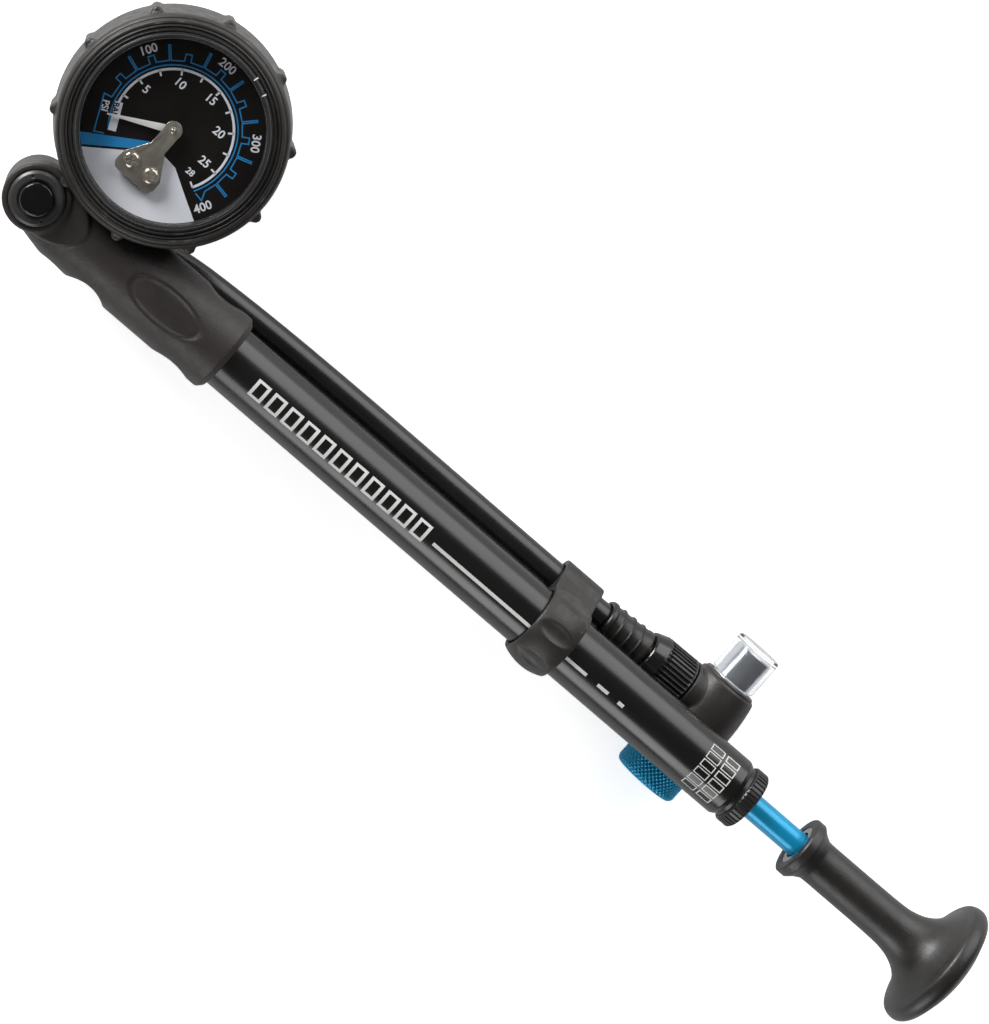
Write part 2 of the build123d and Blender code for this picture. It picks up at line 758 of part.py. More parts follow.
with BuildPart() as banjo_bolt:
    with BuildSketch(level(boss_x, 0, banjo_low - washer_thickness)):
        Circle(bolt_r)
    extrude(amount=boss_bottom + 6.0 - banjo_low + washer_thickness)
    with BuildSketch(level(boss_x, 0, banjo_low - washer_thickness)):
        RegularPolygon(bolt_head_r, 6)
    extrude(amount=-bolt_head_height)
    fillet(banjo_bolt.edges().group_by(Axis.Z)[0], 0.4)
pieces["banjo_bolt"] = banjo_bolt

banjo_direction = Vector(cos(radians(banjo_angle)), sin(radians(banjo_angle)), 0)
hose_stop_station, hose_bend_station = -27.0, -42.5
hose_stop = neck_origin - base + neck_direction * hose_stop_station
hose_route = [
    Vector(boss_x, 0, banjo_z) + banjo_direction * banjo_stem,
    Vector(boss_x, 0, banjo_z) + banjo_direction * (banjo_stem + 24.5),
    Vector(sleeve_end - 0.6, hose_y - 0.6, hose_z - 1.6),
    Vector(-45.0, hose_y, hose_z - 0.3),
    Vector(-14.0, hose_y + 0.03, hose_z),
    Vector(clip_start - 14.0, hose_y, hose_z - 0.02),
    neck_origin - base + neck_direction * hose_bend_station,
    hose_stop,
]


def bend_radii(points):
    """The largest arcs that fit a route: 0.45 of the shorter run over the tangent of half the turn."""
    radii = []
    for before, at, after in zip(points, points[1:], points[2:]):
        turn = (at - before).get_angle(after - at)
        shorter = min((at - before).length, (after - at).length)
        radii.append(0.45 * shorter / tan(radians(turn / 2)))
    return radii


radii = bend_radii(hose_route)
with BuildPart() as hose:
    with BuildLine() as hose_line:
        FilletPolyline(*[base + point for point in hose_route], radius=radii)
    with BuildSketch(Plane(origin=hose_line.line @ 0, z_dir=hose_line.line % 0)):
        Circle(hose_r)
    sweep(path=hose_line.line)
pieces["hose"] = hose
print("hose bend radii", [round(r, 1) for r in radii])
hose_length = sum(edge.length for edge in hose_line.edges())
print("hose length", round(hose_length, 2))
print("volume over section times length", round(hose.part.volume / (pi * hose_r**2 * hose_length), 5))

ferrule_length = 9.4
with BuildPart() as hose_ferrule:
    with BuildSketch(stem_plane.offset(banjo_stem - 1.6)):
        Circle(hose_r + 0.75)
        Circle(hose_r + 0.12, mode=Mode.SUBTRACT)
    extrude(amount=ferrule_length)
pieces["hose_ferrule"] = hose_ferrule

with BuildPart() as hose_boot:
    with BuildSketch(neck_plane):
        with BuildLine():
            Polyline(
                (relief_start, hose_r + clear),
                (relief_start, relief_r - 0.5),
                (relief_start + 0.5, relief_r),
                (relief_start + 1.6, relief_r),
                (relief_start + 2.2, relief_r - 0.4),
                (relief_end - 1.2, relief_r + 0.3),
                (relief_end - 0.6, relief_r + 0.55),
                (relief_end, relief_r + 0.55),
                (relief_end, hose_r + clear),
                close=True,
            )
        make_face()
    revolve(axis=neck_axis)
    for n in range(4):
        rib = relief_start + 3.6 + 2.7 * n
        foot, crest = relief_r - 0.7, relief_r + 0.25 + 0.06 * n
        revolve(
            outline(neck_plane, (rib, foot), (rib + 0.3, crest), (rib + 1.1, crest), (rib + 1.4, foot)),
            neck_axis,
        )
pieces["hose_boot"] = hose_boot

flange_low, flange_high = -17.0, -14.6
fitting_r, fitting_end = hose_r - 0.3, -12.2
with BuildPart() as hose_end_fitting:
    revolve(
        outline(
            neck_plane,
            (hose_stop_station, 1.2),
            (hose_stop_station, fitting_r),
            (flange_low, fitting_r),
            (flange_low, neck_spigot_r + 0.1),
            (flange_high, neck_spigot_r + 0.1),
            (flange_high, 2.0),
            (fitting_end, 2.0),
            (fitting_end, 1.2),
        ),
        neck_axis,
    )
pieces["hose_end_fitting"] = hose_end_fitting

with BuildPart() as swivel_nut:
    revolve(
        outline(
            neck_plane,
            (nut_start, fitting_r + fit),
            (nut_start, nut_small_r - 0.4),
            (nut_start + 0.4, nut_small_r),
            (nut_shoulder, nut_r),
            (nut_end - 0.3, nut_r),
            (nut_end, nut_r - 0.3),
            (nut_end, neck_spigot_r + clear),
            (flange_low - fit, neck_spigot_r + clear),
            (flange_low - fit, fitting_r + fit),
        ),
        neck_axis,
    )
    with BuildSketch(across_neck(nut_shoulder + 0.4)):
        with PolarLocations(nut_r + 0.15, nut_ribs):
            Circle(0.4)
    extrude(amount=nut_end - nut_shoulder, mode=Mode.SUBTRACT)
pieces["swivel_nut"] = swivel_nut

# ---------------------------------------------------------------- hose clip
clip_middle = (clip_start + clip_end) / 2
clip_half = (clip_end - clip_start) / 2
with BuildPart() as hose_clip:
    with BuildSketch(barrel_plane):
        with BuildLine():
            Polyline(
                (clip_start, clip_edge_r),
                (clip_start, 0),
                (clip_end, 0),
                (clip_end, clip_edge_r),
            )
            ThreePointArc((clip_end, clip_edge_r), (clip_middle, clip_crown_r), (clip_start, clip_edge_r))
        make_face()
    revolve(axis=barrel_axis)
    for n in range(flute_count):
        angle = radians(flute_first - n * 360 / flute_count)
        across, upward = sin(angle), cos(angle)
        if across * hose_y + upward * hose_z > barrel_r:
            continue
        reach = clip_crown_r + flute_r - flute_depth
        with BuildSketch(crosswise(clip_start - 1, across * reach, upward * reach)):
            Circle(flute_r)
        extrude(amount=2 * clip_half + 2, mode=Mode.SUBTRACT)
    with BuildSketch(crosswise(clip_start)):
        with Locations((hose_y, hose_z)):
            Circle(clip_lobe_r)
        with BuildLine():
            Polyline(
                (-2.5, 1.4 - barrel_r),
                (hose_y - 2.5, hose_z - 0.8 * clip_lobe_r),
                (hose_y + 0.8 * clip_lobe_r, hose_z + 2.5),
                (barrel_r - 1.4, 2.5),
                close=True,
            )
        make_face()
    extrude(amount=clip_end - clip_start)
    with BuildSketch(crosswise(clip_start - 1)):
        Circle(barrel_r + clear)
        with Locations((hose_y, hose_z)):
            Circle(hose_r + clear)
    extrude(amount=clip_end - clip_start + 2, mode=Mode.SUBTRACT)
pieces["hose_clip"] = hose_clip

# ---------------------------------------------------------------- chuck
guide_low, guide_high = housing_low + 6.6, housing_low + 12.2
collar_flange_r, collar_flange_top = valve_collar_r + 1.2, guide_high + 2.8
with BuildPart() as chuck_housing:
    with BuildSketch(chuck_plane):
        with BuildLine():
            Polyline(
                (housing_r - 1.6, housing_high),
                (0, housing_high),
                (0, housing_low),
                (housing_r - 1.2, housing_low),
                (housing_r - 0.5, housing_low + 0.7),
            )
            ThreePointArc(
                (housing_r - 0.5, housing_low + 0.7),
                (housing_r, housing_low + 9.1),
                (housing_r - 1.2, housing_high - 0.6),
            )
            Line((housing_r - 1.2, housing_high - 0.6), (housing_r - 1.6, housing_high))
        make_face()
    revolve(axis=chuck_axis)
    with BuildSketch(across_neck(nut_end + clear)):
        Circle(neck_r)
    extrude(amount=-nut_end - clear - 3)
    with BuildSketch(across_neck(flange_high + run)):
        Circle(neck_spigot_r)
    extrude(amount=nut_end - flange_high + 3)
    # bores
    with BuildSketch(sideways(chuck_x, guide_high, chuck_z)):
        Circle(collar_flange_r + 0.35)
    extrude(amount=housing_high - guide_high, mode=Mode.SUBTRACT)
    with BuildSketch(sideways(chuck_x, housing_low, chuck_z)):
        Circle(guide_r + run)
    extrude(amount=housing_high, mode=Mode.SUBTRACT)
    with BuildSketch(sideways(chuck_x, housing_low, chuck_z)):
        Circle(thread_r + run)
    extrude(amount=guide_low - housing_low, mode=Mode.SUBTRACT)
    with BuildSketch(across_neck(flange_high + run)):
        Circle(2.0 + run)
    extrude(amount=-flange_high - 2.0, mode=Mode.SUBTRACT)
pieces["chuck_housing"] = chuck_housing

ring_lip = 0.7
collar_shank_r = valve_collar_r + 0.35
with BuildPart() as collar_ring:
    revolve(
        outline(
            chuck_plane,
            (collar_shank_r + clear, collar_flange_top + clear),
            (collar_flange_r + 0.3, collar_flange_top + clear),
            (collar_flange_r + 0.3, housing_high),
            (housing_r - 2.0, housing_high),
            (housing_r - 2.0, housing_high + ring_lip),
            (collar_shank_r + clear, housing_high + ring_lip),
        ),
        chuck_axis,
    )
pieces["collar_ring"] = collar_ring

seal_high = valve_collar_end - valve_thread_length
seal_low = seal_high - 2.5
collar_low = guide_high + clear
with BuildPart() as valve_collar:
    revolve(
        outline(
            chuck_plane,
            (2.2, collar_low),
            (collar_flange_r, collar_low),
            (collar_flange_r, collar_flange_top),
            (collar_shank_r, collar_flange_top),
            (collar_shank_r, housing_high + ring_lip + 0.4),
            (valve_collar_r, housing_high + ring_lip + 0.4),
            (valve_collar_r, valve_collar_end - 0.4),
            (valve_collar_r - 0.4, valve_collar_end),
            (valve_thread_r + 0.4, valve_collar_end),
            (valve_thread_r, valve_collar_end - 0.4),
            (valve_thread_r, seal_high),
            (valve_thread_r + 0.5, seal_high),
            (valve_thread_r + 0.5, seal_low),
            (2.2, seal_low),
        ),
        chuck_axis,
    )
pieces["valve_collar"] = valve_collar

with BuildPart() as valve_seal:
    revolve(
        box_outline(
            chuck_plane,
            pin_r + clear,
            valve_thread_r + 0.5 - fit,
            seal_low,
            seal_high,
        ),
        chuck_axis,
    )
pieces["valve_seal"] = valve_seal

travel = knob_pitch * knob_turns
pin_top = valve_collar_end - valve_thread_length - travel - 0.3
hub_top = guide_low - travel - 0.4
with BuildPart() as depressor_pin:
    revolve(
        outline(
            chuck_plane,
            (0, hub_top + fit),
            (guide_r, hub_top + fit),
            (guide_r, guide_low + 1.4),
            (guide_r - 0.8, guide_low + 1.4),
            (guide_r - 0.8, guide_low + 2.6),
            (guide_r, guide_low + 2.6),
            (guide_r, guide_low + 3.6),
            (pin_r, guide_low + 4.2),
            (pin_r, pin_top),
            (0, pin_top),
        ),
        chuck_axis,
    )
pieces["depressor_pin"] = depressor_pin

with BuildPart() as pin_seal:
    revolve(
        box_outline(chuck_plane, guide_r - 0.8 + fit, guide_r, guide_low + 1.45, guide_low + 2.55),
        chuck_axis,
    )
pieces["pin_seal"] = pin_seal

with BuildPart() as release_knob:
    revolve(
        outline(
            chuck_plane,
            (0, knob_low),
            (knob_r - 0.9, knob_low),
            (knob_r, knob_low + 1.2),
            (knob_r, knob_high - 0.8),
            (knob_r - 0.8, knob_high),
            (thread_r, knob_high),
            (thread_r, hub_top),
            (0, hub_top),
        ),
        chuck_axis,
    )
pieces["release_knob"] = release_knob

with BuildPart() as dust_cap:
    revolve(
        outline(
            chuck_plane,
            (valve_collar_r + run, housing_high + ring_lip + 0.6),
            (cap_r - 0.2, housing_high + ring_lip + 0.6),
            (cap_r, housing_high + ring_lip + 0.8),
            (cap_r, cap_top - 0.5),
            (cap_r - 0.5, cap_top),
            (0, cap_top),
            (0, cap_top - cap_end_thickness),
            (valve_collar_r + run, cap_top - cap_end_thickness),
        ),
        chuck_axis,
    )
pieces["dust_cap"] = dust_cap

# ---------------------------------------------------------------- plunger
inward = handle_face - cap_face - clear
piston_start = spigot_end + piston_gap + inward
piston_end = piston_start + piston_length
ring_start = piston_start + 3.0
ring_groove, ring_width = 1.6, 2.6
rod_end = handle_face + 22.0
with BuildPart() as piston_rod:
    with BuildSketch(crosswise(piston_end)):
        Circle(rod_r)
    extrude(amount=rod_end - piston_end)
    chamfer(piston_rod.edges().group_by(Axis.X)[-1], 0.4)
    with BuildSketch(crosswise(rod_end)):
        Circle(1.5)
    extrude(amount=-8.0, mode=Mode.SUBTRACT)
pieces["piston_rod"] = piston_rod

with BuildPart() as piston:
    revolve(
        outline(
            barrel_plane,
            (piston_start, 0),
            (piston_start, bore_r - run),
            (ring_start, bore_r - run),
            (ring_start, bore_r - ring_groove),
            (ring_start + ring_width, bore_r - ring_groove),
            (ring_start + ring_width, bore_r - run),
            (piston_end, bore_r - run),
            (piston_end, 0),
        ),
        barrel_axis,
    )
pieces["piston"] = piston

with BuildPart() as piston_ring:
    revolve(
        outline(
            barrel_plane,
            (ring_start + run, bore_r - ring_groove + run),
            (ring_start + run, bore_r - fit),
            (ring_start + ring_width - run, bore_r - fit),
            (ring_start + ring_width - run, bore_r - ring_groove + run),
        ),
        barrel_axis,
    )
pieces["piston_ring"] = piston_ring

screw_seat = rod_end + 9.0
with BuildPart() as handle_grip:
    with BuildSketch(barrel_plane):
        with BuildLine():
            Polyline(
                (handle_face, 0),
                (handle_face, handle_collar_r - 0.4),
                (handle_face + 0.4, handle_collar_r),
                (handle_collar_end - 0.5, handle_collar_r),
                (handle_collar_end, handle_collar_r - 0.4),
            )
            Spline(
                (handle_collar_end, handle_collar_r - 0.4),
                (stem_waist_start - 1.6, stem_waist_r + 0.7),
                (stem_waist_start, stem_waist_r),
                tangents=((0.35, -1), (1, -0.05)),
            )
            Spline(
                (stem_waist_start, stem_waist_r),
                ((stem_waist_start + stem_waist_end) / 2, stem_waist_r),
                (stem_waist_end, stem_waist_r + 0.4),
                (palm_x - 7.0, palm_r / 2 + 0.2),
                (palm_x - palm_rim, palm_r - 2.4),
                tangents=((1, -0.05), (0.35, 1)),
            )
            ThreePointArc(
                (palm_x - palm_rim, palm_r - 2.4),
                (palm_x, palm_r),
                (palm_x + palm_rim, palm_r - 2.8),
            )
            ThreePointArc(
                (palm_x + palm_rim, palm_r - 2.8),
                (palm_x + palm_rim + palm_dome * 0.72, palm_r / 2),
                (palm_x + palm_rim + palm_dome, 0),
            )
            Line((palm_x + palm_rim + palm_dome, 0), (handle_face, 0))
        make_face()
    revolve(axis=barrel_axis)
    with BuildSketch(crosswise(handle_face)):
        Circle(rod_r + fit)
    extrude(amount=rod_end - handle_face, mode=Mode.SUBTRACT)
    with BuildSketch(crosswise(handle_face)):
        Circle(insert_r + fit)
    extrude(amount=insert_depth, mode=Mode.SUBTRACT)
    with BuildSketch(crosswise(rod_end)):
        Circle(1.6)
    extrude(amount=screw_seat - rod_end, mode=Mode.SUBTRACT)
    with BuildSketch(crosswise(screw_seat)):
        Circle(screw_pocket_r)
    extrude(amount=60, mode=Mode.SUBTRACT)
pieces["handle_grip"] = handle_grip

with BuildPart() as handle_insert:
    with BuildSketch(crosswise(handle_face + 1.6)):
        Circle(insert_r)
        Circle(rod_r + fit, mode=Mode.SUBTRACT)
    extrude(amount=insert_depth - 1.6)
pieces["handle_insert"] = handle_insert

with BuildPart() as handle_magnet:
    with BuildSketch(crosswise(handle_face + 0.2)):
        Circle(insert_r)
        Circle(rod_r + 0.6, mode=Mode.SUBTRACT)
    extrude(amount=1.35)
pieces["handle_magnet"] = handle_magnet

with BuildPart() as handle_screw:
    with BuildSketch(crosswise(rod_end - 7.5)):
        Circle(1.5 - fit)
    extrude(amount=screw_seat - rod_end + 7.5)
    with BuildSketch(crosswise(screw_seat)):
        Circle(screw_pocket_r - 0.3)
    extrude(amount=2.4)
    with BuildSketch(crosswise(screw_seat + 2.4)):
        RegularPolygon(1.4, 6)
    extrude(amount=-1.4, mode=Mode.SUBTRACT)
pieces["handle_screw"] = handle_screw

os.makedirs("parts", exist_ok=True)
for name, piece in pieces.items():
    piece.part.label = name
    export_step(piece.part, f"parts/{name}.step")
print("frame shift", base)
print(len(pieces), "nodes")
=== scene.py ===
"""Looks of a high-pressure shock pump: gauge, grip sleeve, barrel, hose, chuck and plunger.

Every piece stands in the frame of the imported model, in metres, with +X along the barrel towards
the handle, +Y from the barrel towards the gauge side, and +Z out of the dial. Sizes written as
bare numbers in the classes are millimetres, and stations are measured along each piece's axis.
"""

import json
import logging
from dataclasses import dataclass
from enum import Enum
from math import cos, pi, radians, sin, tan
from typing import Callable, Optional, Sequence

import bmesh
import bpy
import numpy as np
from mathutils import Matrix, Vector


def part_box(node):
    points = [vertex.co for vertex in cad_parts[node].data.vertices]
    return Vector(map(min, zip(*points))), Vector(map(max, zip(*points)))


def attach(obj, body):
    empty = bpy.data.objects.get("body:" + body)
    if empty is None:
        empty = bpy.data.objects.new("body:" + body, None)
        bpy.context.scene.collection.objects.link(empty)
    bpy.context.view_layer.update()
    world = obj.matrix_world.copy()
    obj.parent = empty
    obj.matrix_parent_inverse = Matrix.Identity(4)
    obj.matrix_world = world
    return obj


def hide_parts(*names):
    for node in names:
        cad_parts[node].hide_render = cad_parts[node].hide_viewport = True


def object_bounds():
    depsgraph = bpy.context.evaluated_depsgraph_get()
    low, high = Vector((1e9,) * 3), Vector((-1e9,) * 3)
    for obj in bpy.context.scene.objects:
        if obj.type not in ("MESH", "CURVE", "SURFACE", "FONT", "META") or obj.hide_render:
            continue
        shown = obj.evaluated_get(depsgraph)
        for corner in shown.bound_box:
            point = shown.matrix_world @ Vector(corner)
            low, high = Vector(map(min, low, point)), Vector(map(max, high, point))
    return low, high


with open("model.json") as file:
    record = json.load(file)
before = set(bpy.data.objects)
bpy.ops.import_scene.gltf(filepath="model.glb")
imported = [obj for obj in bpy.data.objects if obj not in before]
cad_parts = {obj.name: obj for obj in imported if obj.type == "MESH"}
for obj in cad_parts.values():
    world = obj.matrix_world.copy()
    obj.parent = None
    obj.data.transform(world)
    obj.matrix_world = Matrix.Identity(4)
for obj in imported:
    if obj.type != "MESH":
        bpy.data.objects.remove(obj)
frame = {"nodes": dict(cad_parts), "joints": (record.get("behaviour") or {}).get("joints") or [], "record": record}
CAD_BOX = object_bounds()
MM = 0.001
log = logging.getLogger("shock_pump")

Relief = Callable[[np.ndarray, np.ndarray, np.ndarray], tuple]


class Body(str, Enum):
    """The moving bodies of the pump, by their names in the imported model."""

    PUMP = "pump_body"
    POINTER = "pointer"
    BUTTON = "bleed_button"
    CLIP = "hose_clip"
    CHUCK = "chuck"
    KNOB = "release_knob"
    COLLAR = "valve_collar"
    CAP = "dust_cap"
    PLUNGER = "plunger"


# ------------------------------------------------------------------ finishes


def fill(tree: bpy.types.NodeTree, node: bpy.types.Node, inputs: dict) -> None:
    """Links or sets a node's inputs.

    Args:
        tree: The node tree that the node is in.
        node: The node.
        inputs: For each input, by name or number, the socket to link to it or its value.
    """
    for key, value in inputs.items():
        if isinstance(value, bpy.types.NodeSocket):
            tree.links.new(value, node.inputs[key])
        else:
            node.inputs[key].default_value = value


def add_node(tree: bpy.types.NodeTree, kind: str, inputs: dict, operation: str = "") -> bpy.types.Node:
    """Adds a shader node.

    Args:
        tree: The node tree that it goes into.
        kind: The node's type. A mix node is made to mix colours.
        inputs: Its inputs, as fill takes them.
        operation: What a maths node does.

    Returns:
        The new node.
    """
    node = tree.nodes.new(kind)
    if kind == "ShaderNodeMix":
        node.data_type = "RGBA"
    if operation:
        node.operation = operation
    fill(tree, node, inputs)
    return node


@dataclass(frozen=True)
class Finish:
    """A surface finish: a base colour with grain, blotches and uneven gloss.

    The colour is mixed with a second one by a slow noise, the roughness swings about its middle
    value by another noise, and a fine noise gives the bump of grain or brushing.
    """

    name: str
    colour: tuple[float, float, float]
    shade: tuple[float, float, float]
    roughness: float = 0.5
    swing: float = 0.08
    metallic: float = 0.0
    grain: float = 3000.0
    bump: float = 0.15
    depth: float = 0.00006
    blotch: float = 60.0
    stretch: tuple[float, float, float] = (1.0, 1.0, 1.0)
    specular: float = 0.5
    transmission: float = 0.0
    ior: float = 1.5
    alpha: float = 1.0
    wear: float = 0.0
    wear_colour: tuple[float, float, float] = (0.5, 0.5, 0.5)

    def build(self) -> bpy.types.Material:
        """Makes the material once, and returns the same one after that.

        Returns:
            The node material of this finish.
        """
        label = "look_" + self.name
        found = bpy.data.materials.get(label)
        if found is not None:
            return found
        made = bpy.data.materials.new(label)
        made.use_nodes = True
        tree = made.node_tree
        place = add_node(tree, "ShaderNodeTexCoord", {}).outputs["Object"]
        mapping = add_node(tree, "ShaderNodeMapping", {"Vector": place, "Scale": self.stretch})
        where = mapping.outputs["Vector"]
        slow = self._noise(tree, where, self.blotch, 3.0)
        fine = self._noise(tree, where, self.grain, 2.0)
        middle = self._noise(tree, where, self.blotch * 9, 4.0)
        spread = self._ramp(tree, slow, 0.35, 0.65)
        colour = self._mixed(tree, (*self.colour, 1), self.shade, spread)
        if self.wear > 0:
            colour = self._worn(tree, colour, middle)
        low, high = max(0.02, self.roughness - self.swing), min(1.0, self.roughness + self.swing)
        shader = tree.nodes["Principled BSDF"]
        fill(tree, shader, {
            "Base Color": colour, "Roughness": self._ramp(tree, middle, 0.3, 0.7, low, high),
            "Metallic": self.metallic, "Specular IOR Level": self.specular,
            "Transmission Weight": self.transmission, "IOR": self.ior, "Alpha": self.alpha,
        })
        if self.bump > 0:
            bump = add_node(tree, "ShaderNodeBump", {
                "Strength": self.bump, "Distance": self.depth, "Height": fine})
            fill(tree, shader, {"Normal": bump.outputs["Normal"]})
        return made

    @staticmethod
    def _noise(tree: bpy.types.NodeTree, where: bpy.types.NodeSocket, scale: float,
               detail: float) -> bpy.types.NodeSocket:
        """Adds a noise texture and returns its value socket."""
        noise = add_node(tree, "ShaderNodeTexNoise", {"Vector": where, "Scale": scale, "Detail": detail})
        return noise.outputs["Fac"]

    @staticmethod
    def _ramp(tree: bpy.types.NodeTree, value: bpy.types.NodeSocket, low: float, high: float,
              to_low: float = 0.0, to_high: float = 1.0) -> bpy.types.NodeSocket:
        """Stretches the range low to high over the range to_low to to_high.

        Args:
            tree: The material's node tree.
            value: The socket to stretch.
            low, high: The range that it is taken from.
            to_low, to_high: The range that it is taken to.

        Returns:
            The stretched value's socket.
        """
        ramp = add_node(tree, "ShaderNodeMapRange", {
            "Value": value, "From Min": low, "From Max": high, "To Min": to_low, "To Max": to_high})
        return ramp.outputs["Result"]

    @staticmethod
    def _mixed(tree: bpy.types.NodeTree, first: tuple | bpy.types.NodeSocket,
               second: tuple[float, float, float],
               share: bpy.types.NodeSocket) -> bpy.types.NodeSocket:
        """Mixes a second colour into the first by a share and returns the socket."""
        mix = add_node(tree, "ShaderNodeMix", {"A": first, "B": (*second, 1), "Factor": share})
        return mix.outputs["Result"]

    def _worn(self, tree: bpy.types.NodeTree, colour: bpy.types.NodeSocket,
              noise: bpy.types.NodeSocket) -> bpy.types.NodeSocket:
        """Lets the wear colour through on edges, where the surface turns sharply.

        Args:
            tree: The material's node tree.
            colour: The unworn colour's socket.
            noise: The noise that breaks the wear into patches.

        Returns:
            The worn colour's socket.
        """
        bend = add_node(tree, "ShaderNodeNewGeometry", {}).outputs["Pointiness"]
        edge, patch = self._ramp(tree, bend, 0.52, 0.6), self._ramp(tree, noise, 0.4, 0.7)
        both = add_node(tree, "ShaderNodeMath", {0: edge, 1: patch}, "MULTIPLY").outputs["Value"]
        amount = add_node(tree, "ShaderNodeMath", {0: both, 1: self.wear}, "MULTIPLY")
        return self._mixed(tree, colour, self.wear_colour, amount.outputs["Value"])


BARREL_BLACK = Finish("barrel_black", (0.005, 0.005, 0.005), (0.009, 0.008, 0.007), 0.25, 0.04,
                      grain=5000, bump=0.05, blotch=40, stretch=(0.15, 1, 1), specular=0.6,
                      wear=0.3, wear_colour=(0.25, 0.25, 0.25))
RUBBER = Finish("grip_rubber", (0.032, 0.027, 0.025), (0.022, 0.019, 0.017), 0.46, 0.06,
                grain=2600, bump=0.6, depth=0.00012, blotch=45, specular=0.4)
BOOT_RUBBER = Finish("boot_rubber", (0.028, 0.025, 0.023), (0.018, 0.016, 0.015), 0.44, 0.08,
                     grain=2600, bump=0.6, depth=0.00010, blotch=45, specular=0.45,
                     wear=0.35, wear_colour=(0.35, 0.34, 0.32))
HOSE_BLACK = Finish("hose_black", (0.006, 0.006, 0.007), (0.010, 0.010, 0.011), 0.28, 0.03,
                    grain=1500, bump=0.06, blotch=80, specular=0.6)
RELIEF_BLACK = Finish("relief_black", (0.012, 0.011, 0.011), (0.018, 0.017, 0.016), 0.34, 0.04,
                      grain=3000, bump=0.15, blotch=90)
NUT_BLACK = Finish("nut_black", (0.006, 0.006, 0.006), (0.010, 0.010, 0.010), 0.2, 0.06,
                   grain=2500, bump=0.05, blotch=120, specular=0.6)
HOUSING_BLACK = Finish("housing_black", (0.030, 0.026, 0.024), (0.021, 0.018, 0.017), 0.42, 0.06,
                       grain=2800, bump=0.6, depth=0.00010, blotch=70, specular=0.5)
HANDLE_BLACK = Finish("handle_black", (0.018, 0.016, 0.015), (0.012, 0.011, 0.010), 0.4, 0.05,
                      grain=2600, bump=0.6, depth=0.00010, blotch=40, specular=0.6)
BEZEL_BLACK = Finish("bezel_black", (0.010, 0.009, 0.009), (0.016, 0.015, 0.014), 0.3, 0.03,
                     grain=2800, bump=0.12, blotch=70, wear=0.2, wear_colour=(0.3, 0.3, 0.3))
BUTTON_BLACK = Finish("button_black", (0.003, 0.003, 0.003), (0.005, 0.005, 0.005), 0.12, 0.04,
                      grain=1200, bump=0.03, blotch=150, specular=0.45)
COLLAR_BLACK = Finish("collar_black", (0.055, 0.053, 0.052), (0.038, 0.037, 0.036), 0.34, 0.06,
                      metallic=0.3, grain=4000, bump=0.12, blotch=90)
BLUE = Finish("blue_anodised", (0.006, 0.37, 0.66), (0.003, 0.31, 0.58), 0.3, 0.03, metallic=0.3,
              grain=3600, bump=0.04, blotch=90, specular=0.6, wear=0.1, wear_colour=(0.2, 0.55, 0.75))
POLISHED = Finish("polished_aluminium", (0.70, 0.72, 0.75), (0.60, 0.62, 0.65), 0.2, 0.05,
                  metallic=0.6, grain=2400, bump=0.05, blotch=80, stretch=(1, 6, 1))
MACHINED = Finish("machined_aluminium", (0.55, 0.56, 0.57), (0.47, 0.48, 0.49), 0.33, 0.08,
                  metallic=1.0, grain=3200, bump=0.12, blotch=80)
NICKEL = Finish("nickel_plate", (0.80, 0.74, 0.65), (0.62, 0.57, 0.50), 0.13, 0.05, metallic=0.85,
                grain=2600, bump=0.07, blotch=220, wear=0.3, wear_colour=(0.3, 0.27, 0.24))
STEEL = Finish("plated_steel", (0.50, 0.50, 0.50), (0.42, 0.42, 0.43), 0.3, 0.08, metallic=1.0,
               grain=3000, bump=0.1, blotch=100)
BRASS = Finish("turned_brass", (0.68, 0.47, 0.20), (0.58, 0.40, 0.17), 0.28, 0.08, metallic=1.0,
               grain=3000, bump=0.1, blotch=100)
SEAL = Finish("seal_black", (0.012, 0.012, 0.012), (0.018, 0.018, 0.018), 0.5, 0.08, grain=3000)
BUSH = Finish("bush_plastic", (0.66, 0.65, 0.61), (0.58, 0.57, 0.53), 0.45, 0.08, grain=2500)
CLEAR_CAP = Finish("clear_cap", (0.86, 0.87, 0.88), (0.83, 0.84, 0.85), 0.05, 0.02,
                   grain=900, bump=0.02, blotch=60, transmission=1.0, ior=1.45)
CLEAR_LENS = Finish("clear_lens", (0.040, 0.039, 0.038), (0.026, 0.025, 0.025), 0.26, 0.1,
                    grain=700, bump=0.01, blotch=50, alpha=0.7, specular=0.3)
# Painted highlight: an opaque pale finish for the thin bright lines where light catches the clear lens's edges.
LENS_PAINTED_HIGHLIGHT = Finish("lens_painted_highlight", (0.75, 0.75, 0.75), (0.40, 0.40, 0.40), 0.2, 0.05,
                   grain=700, bump=0.01, blotch=160, specular=0.9)
CLEAR_WINDOW = Finish("clear_window", (0.02, 0.02, 0.02), (0.01, 0.01, 0.01), 0.03, 0.01,
                      grain=700, bump=0.01, blotch=50, alpha=0.06)
DIAL_BLACK = Finish("dial_black", (0.006, 0.005, 0.004), (0.010, 0.008, 0.007), 0.5, 0.06,
                    grain=1800, bump=0.05, blotch=90, specular=0.15)
PRINT_WHITE = Finish("print_white", (0.72, 0.72, 0.71), (0.64, 0.64, 0.63), 0.5, 0.06,
                     grain=2600, bump=0.05, blotch=150)
DIAL_WHITE = Finish("dial_white", (0.93, 0.94, 1.0), (0.84, 0.87, 0.95), 0.5, 0.05,
                    grain=1500, bump=0.04, blotch=60)
PRINT_BLUE = Finish("print_blue", (0.018, 0.28, 0.66), (0.014, 0.25, 0.60), 0.45, 0.05,
                    grain=2600, bump=0.05, blotch=150)
POINTER_WHITE = Finish("pointer_white", (0.80, 0.80, 0.80), (0.72, 0.72, 0.72), 0.4, 0.06,
                       grain=2000, bump=0.05, blotch=200)


# ------------------------------------------------------------------ shapes


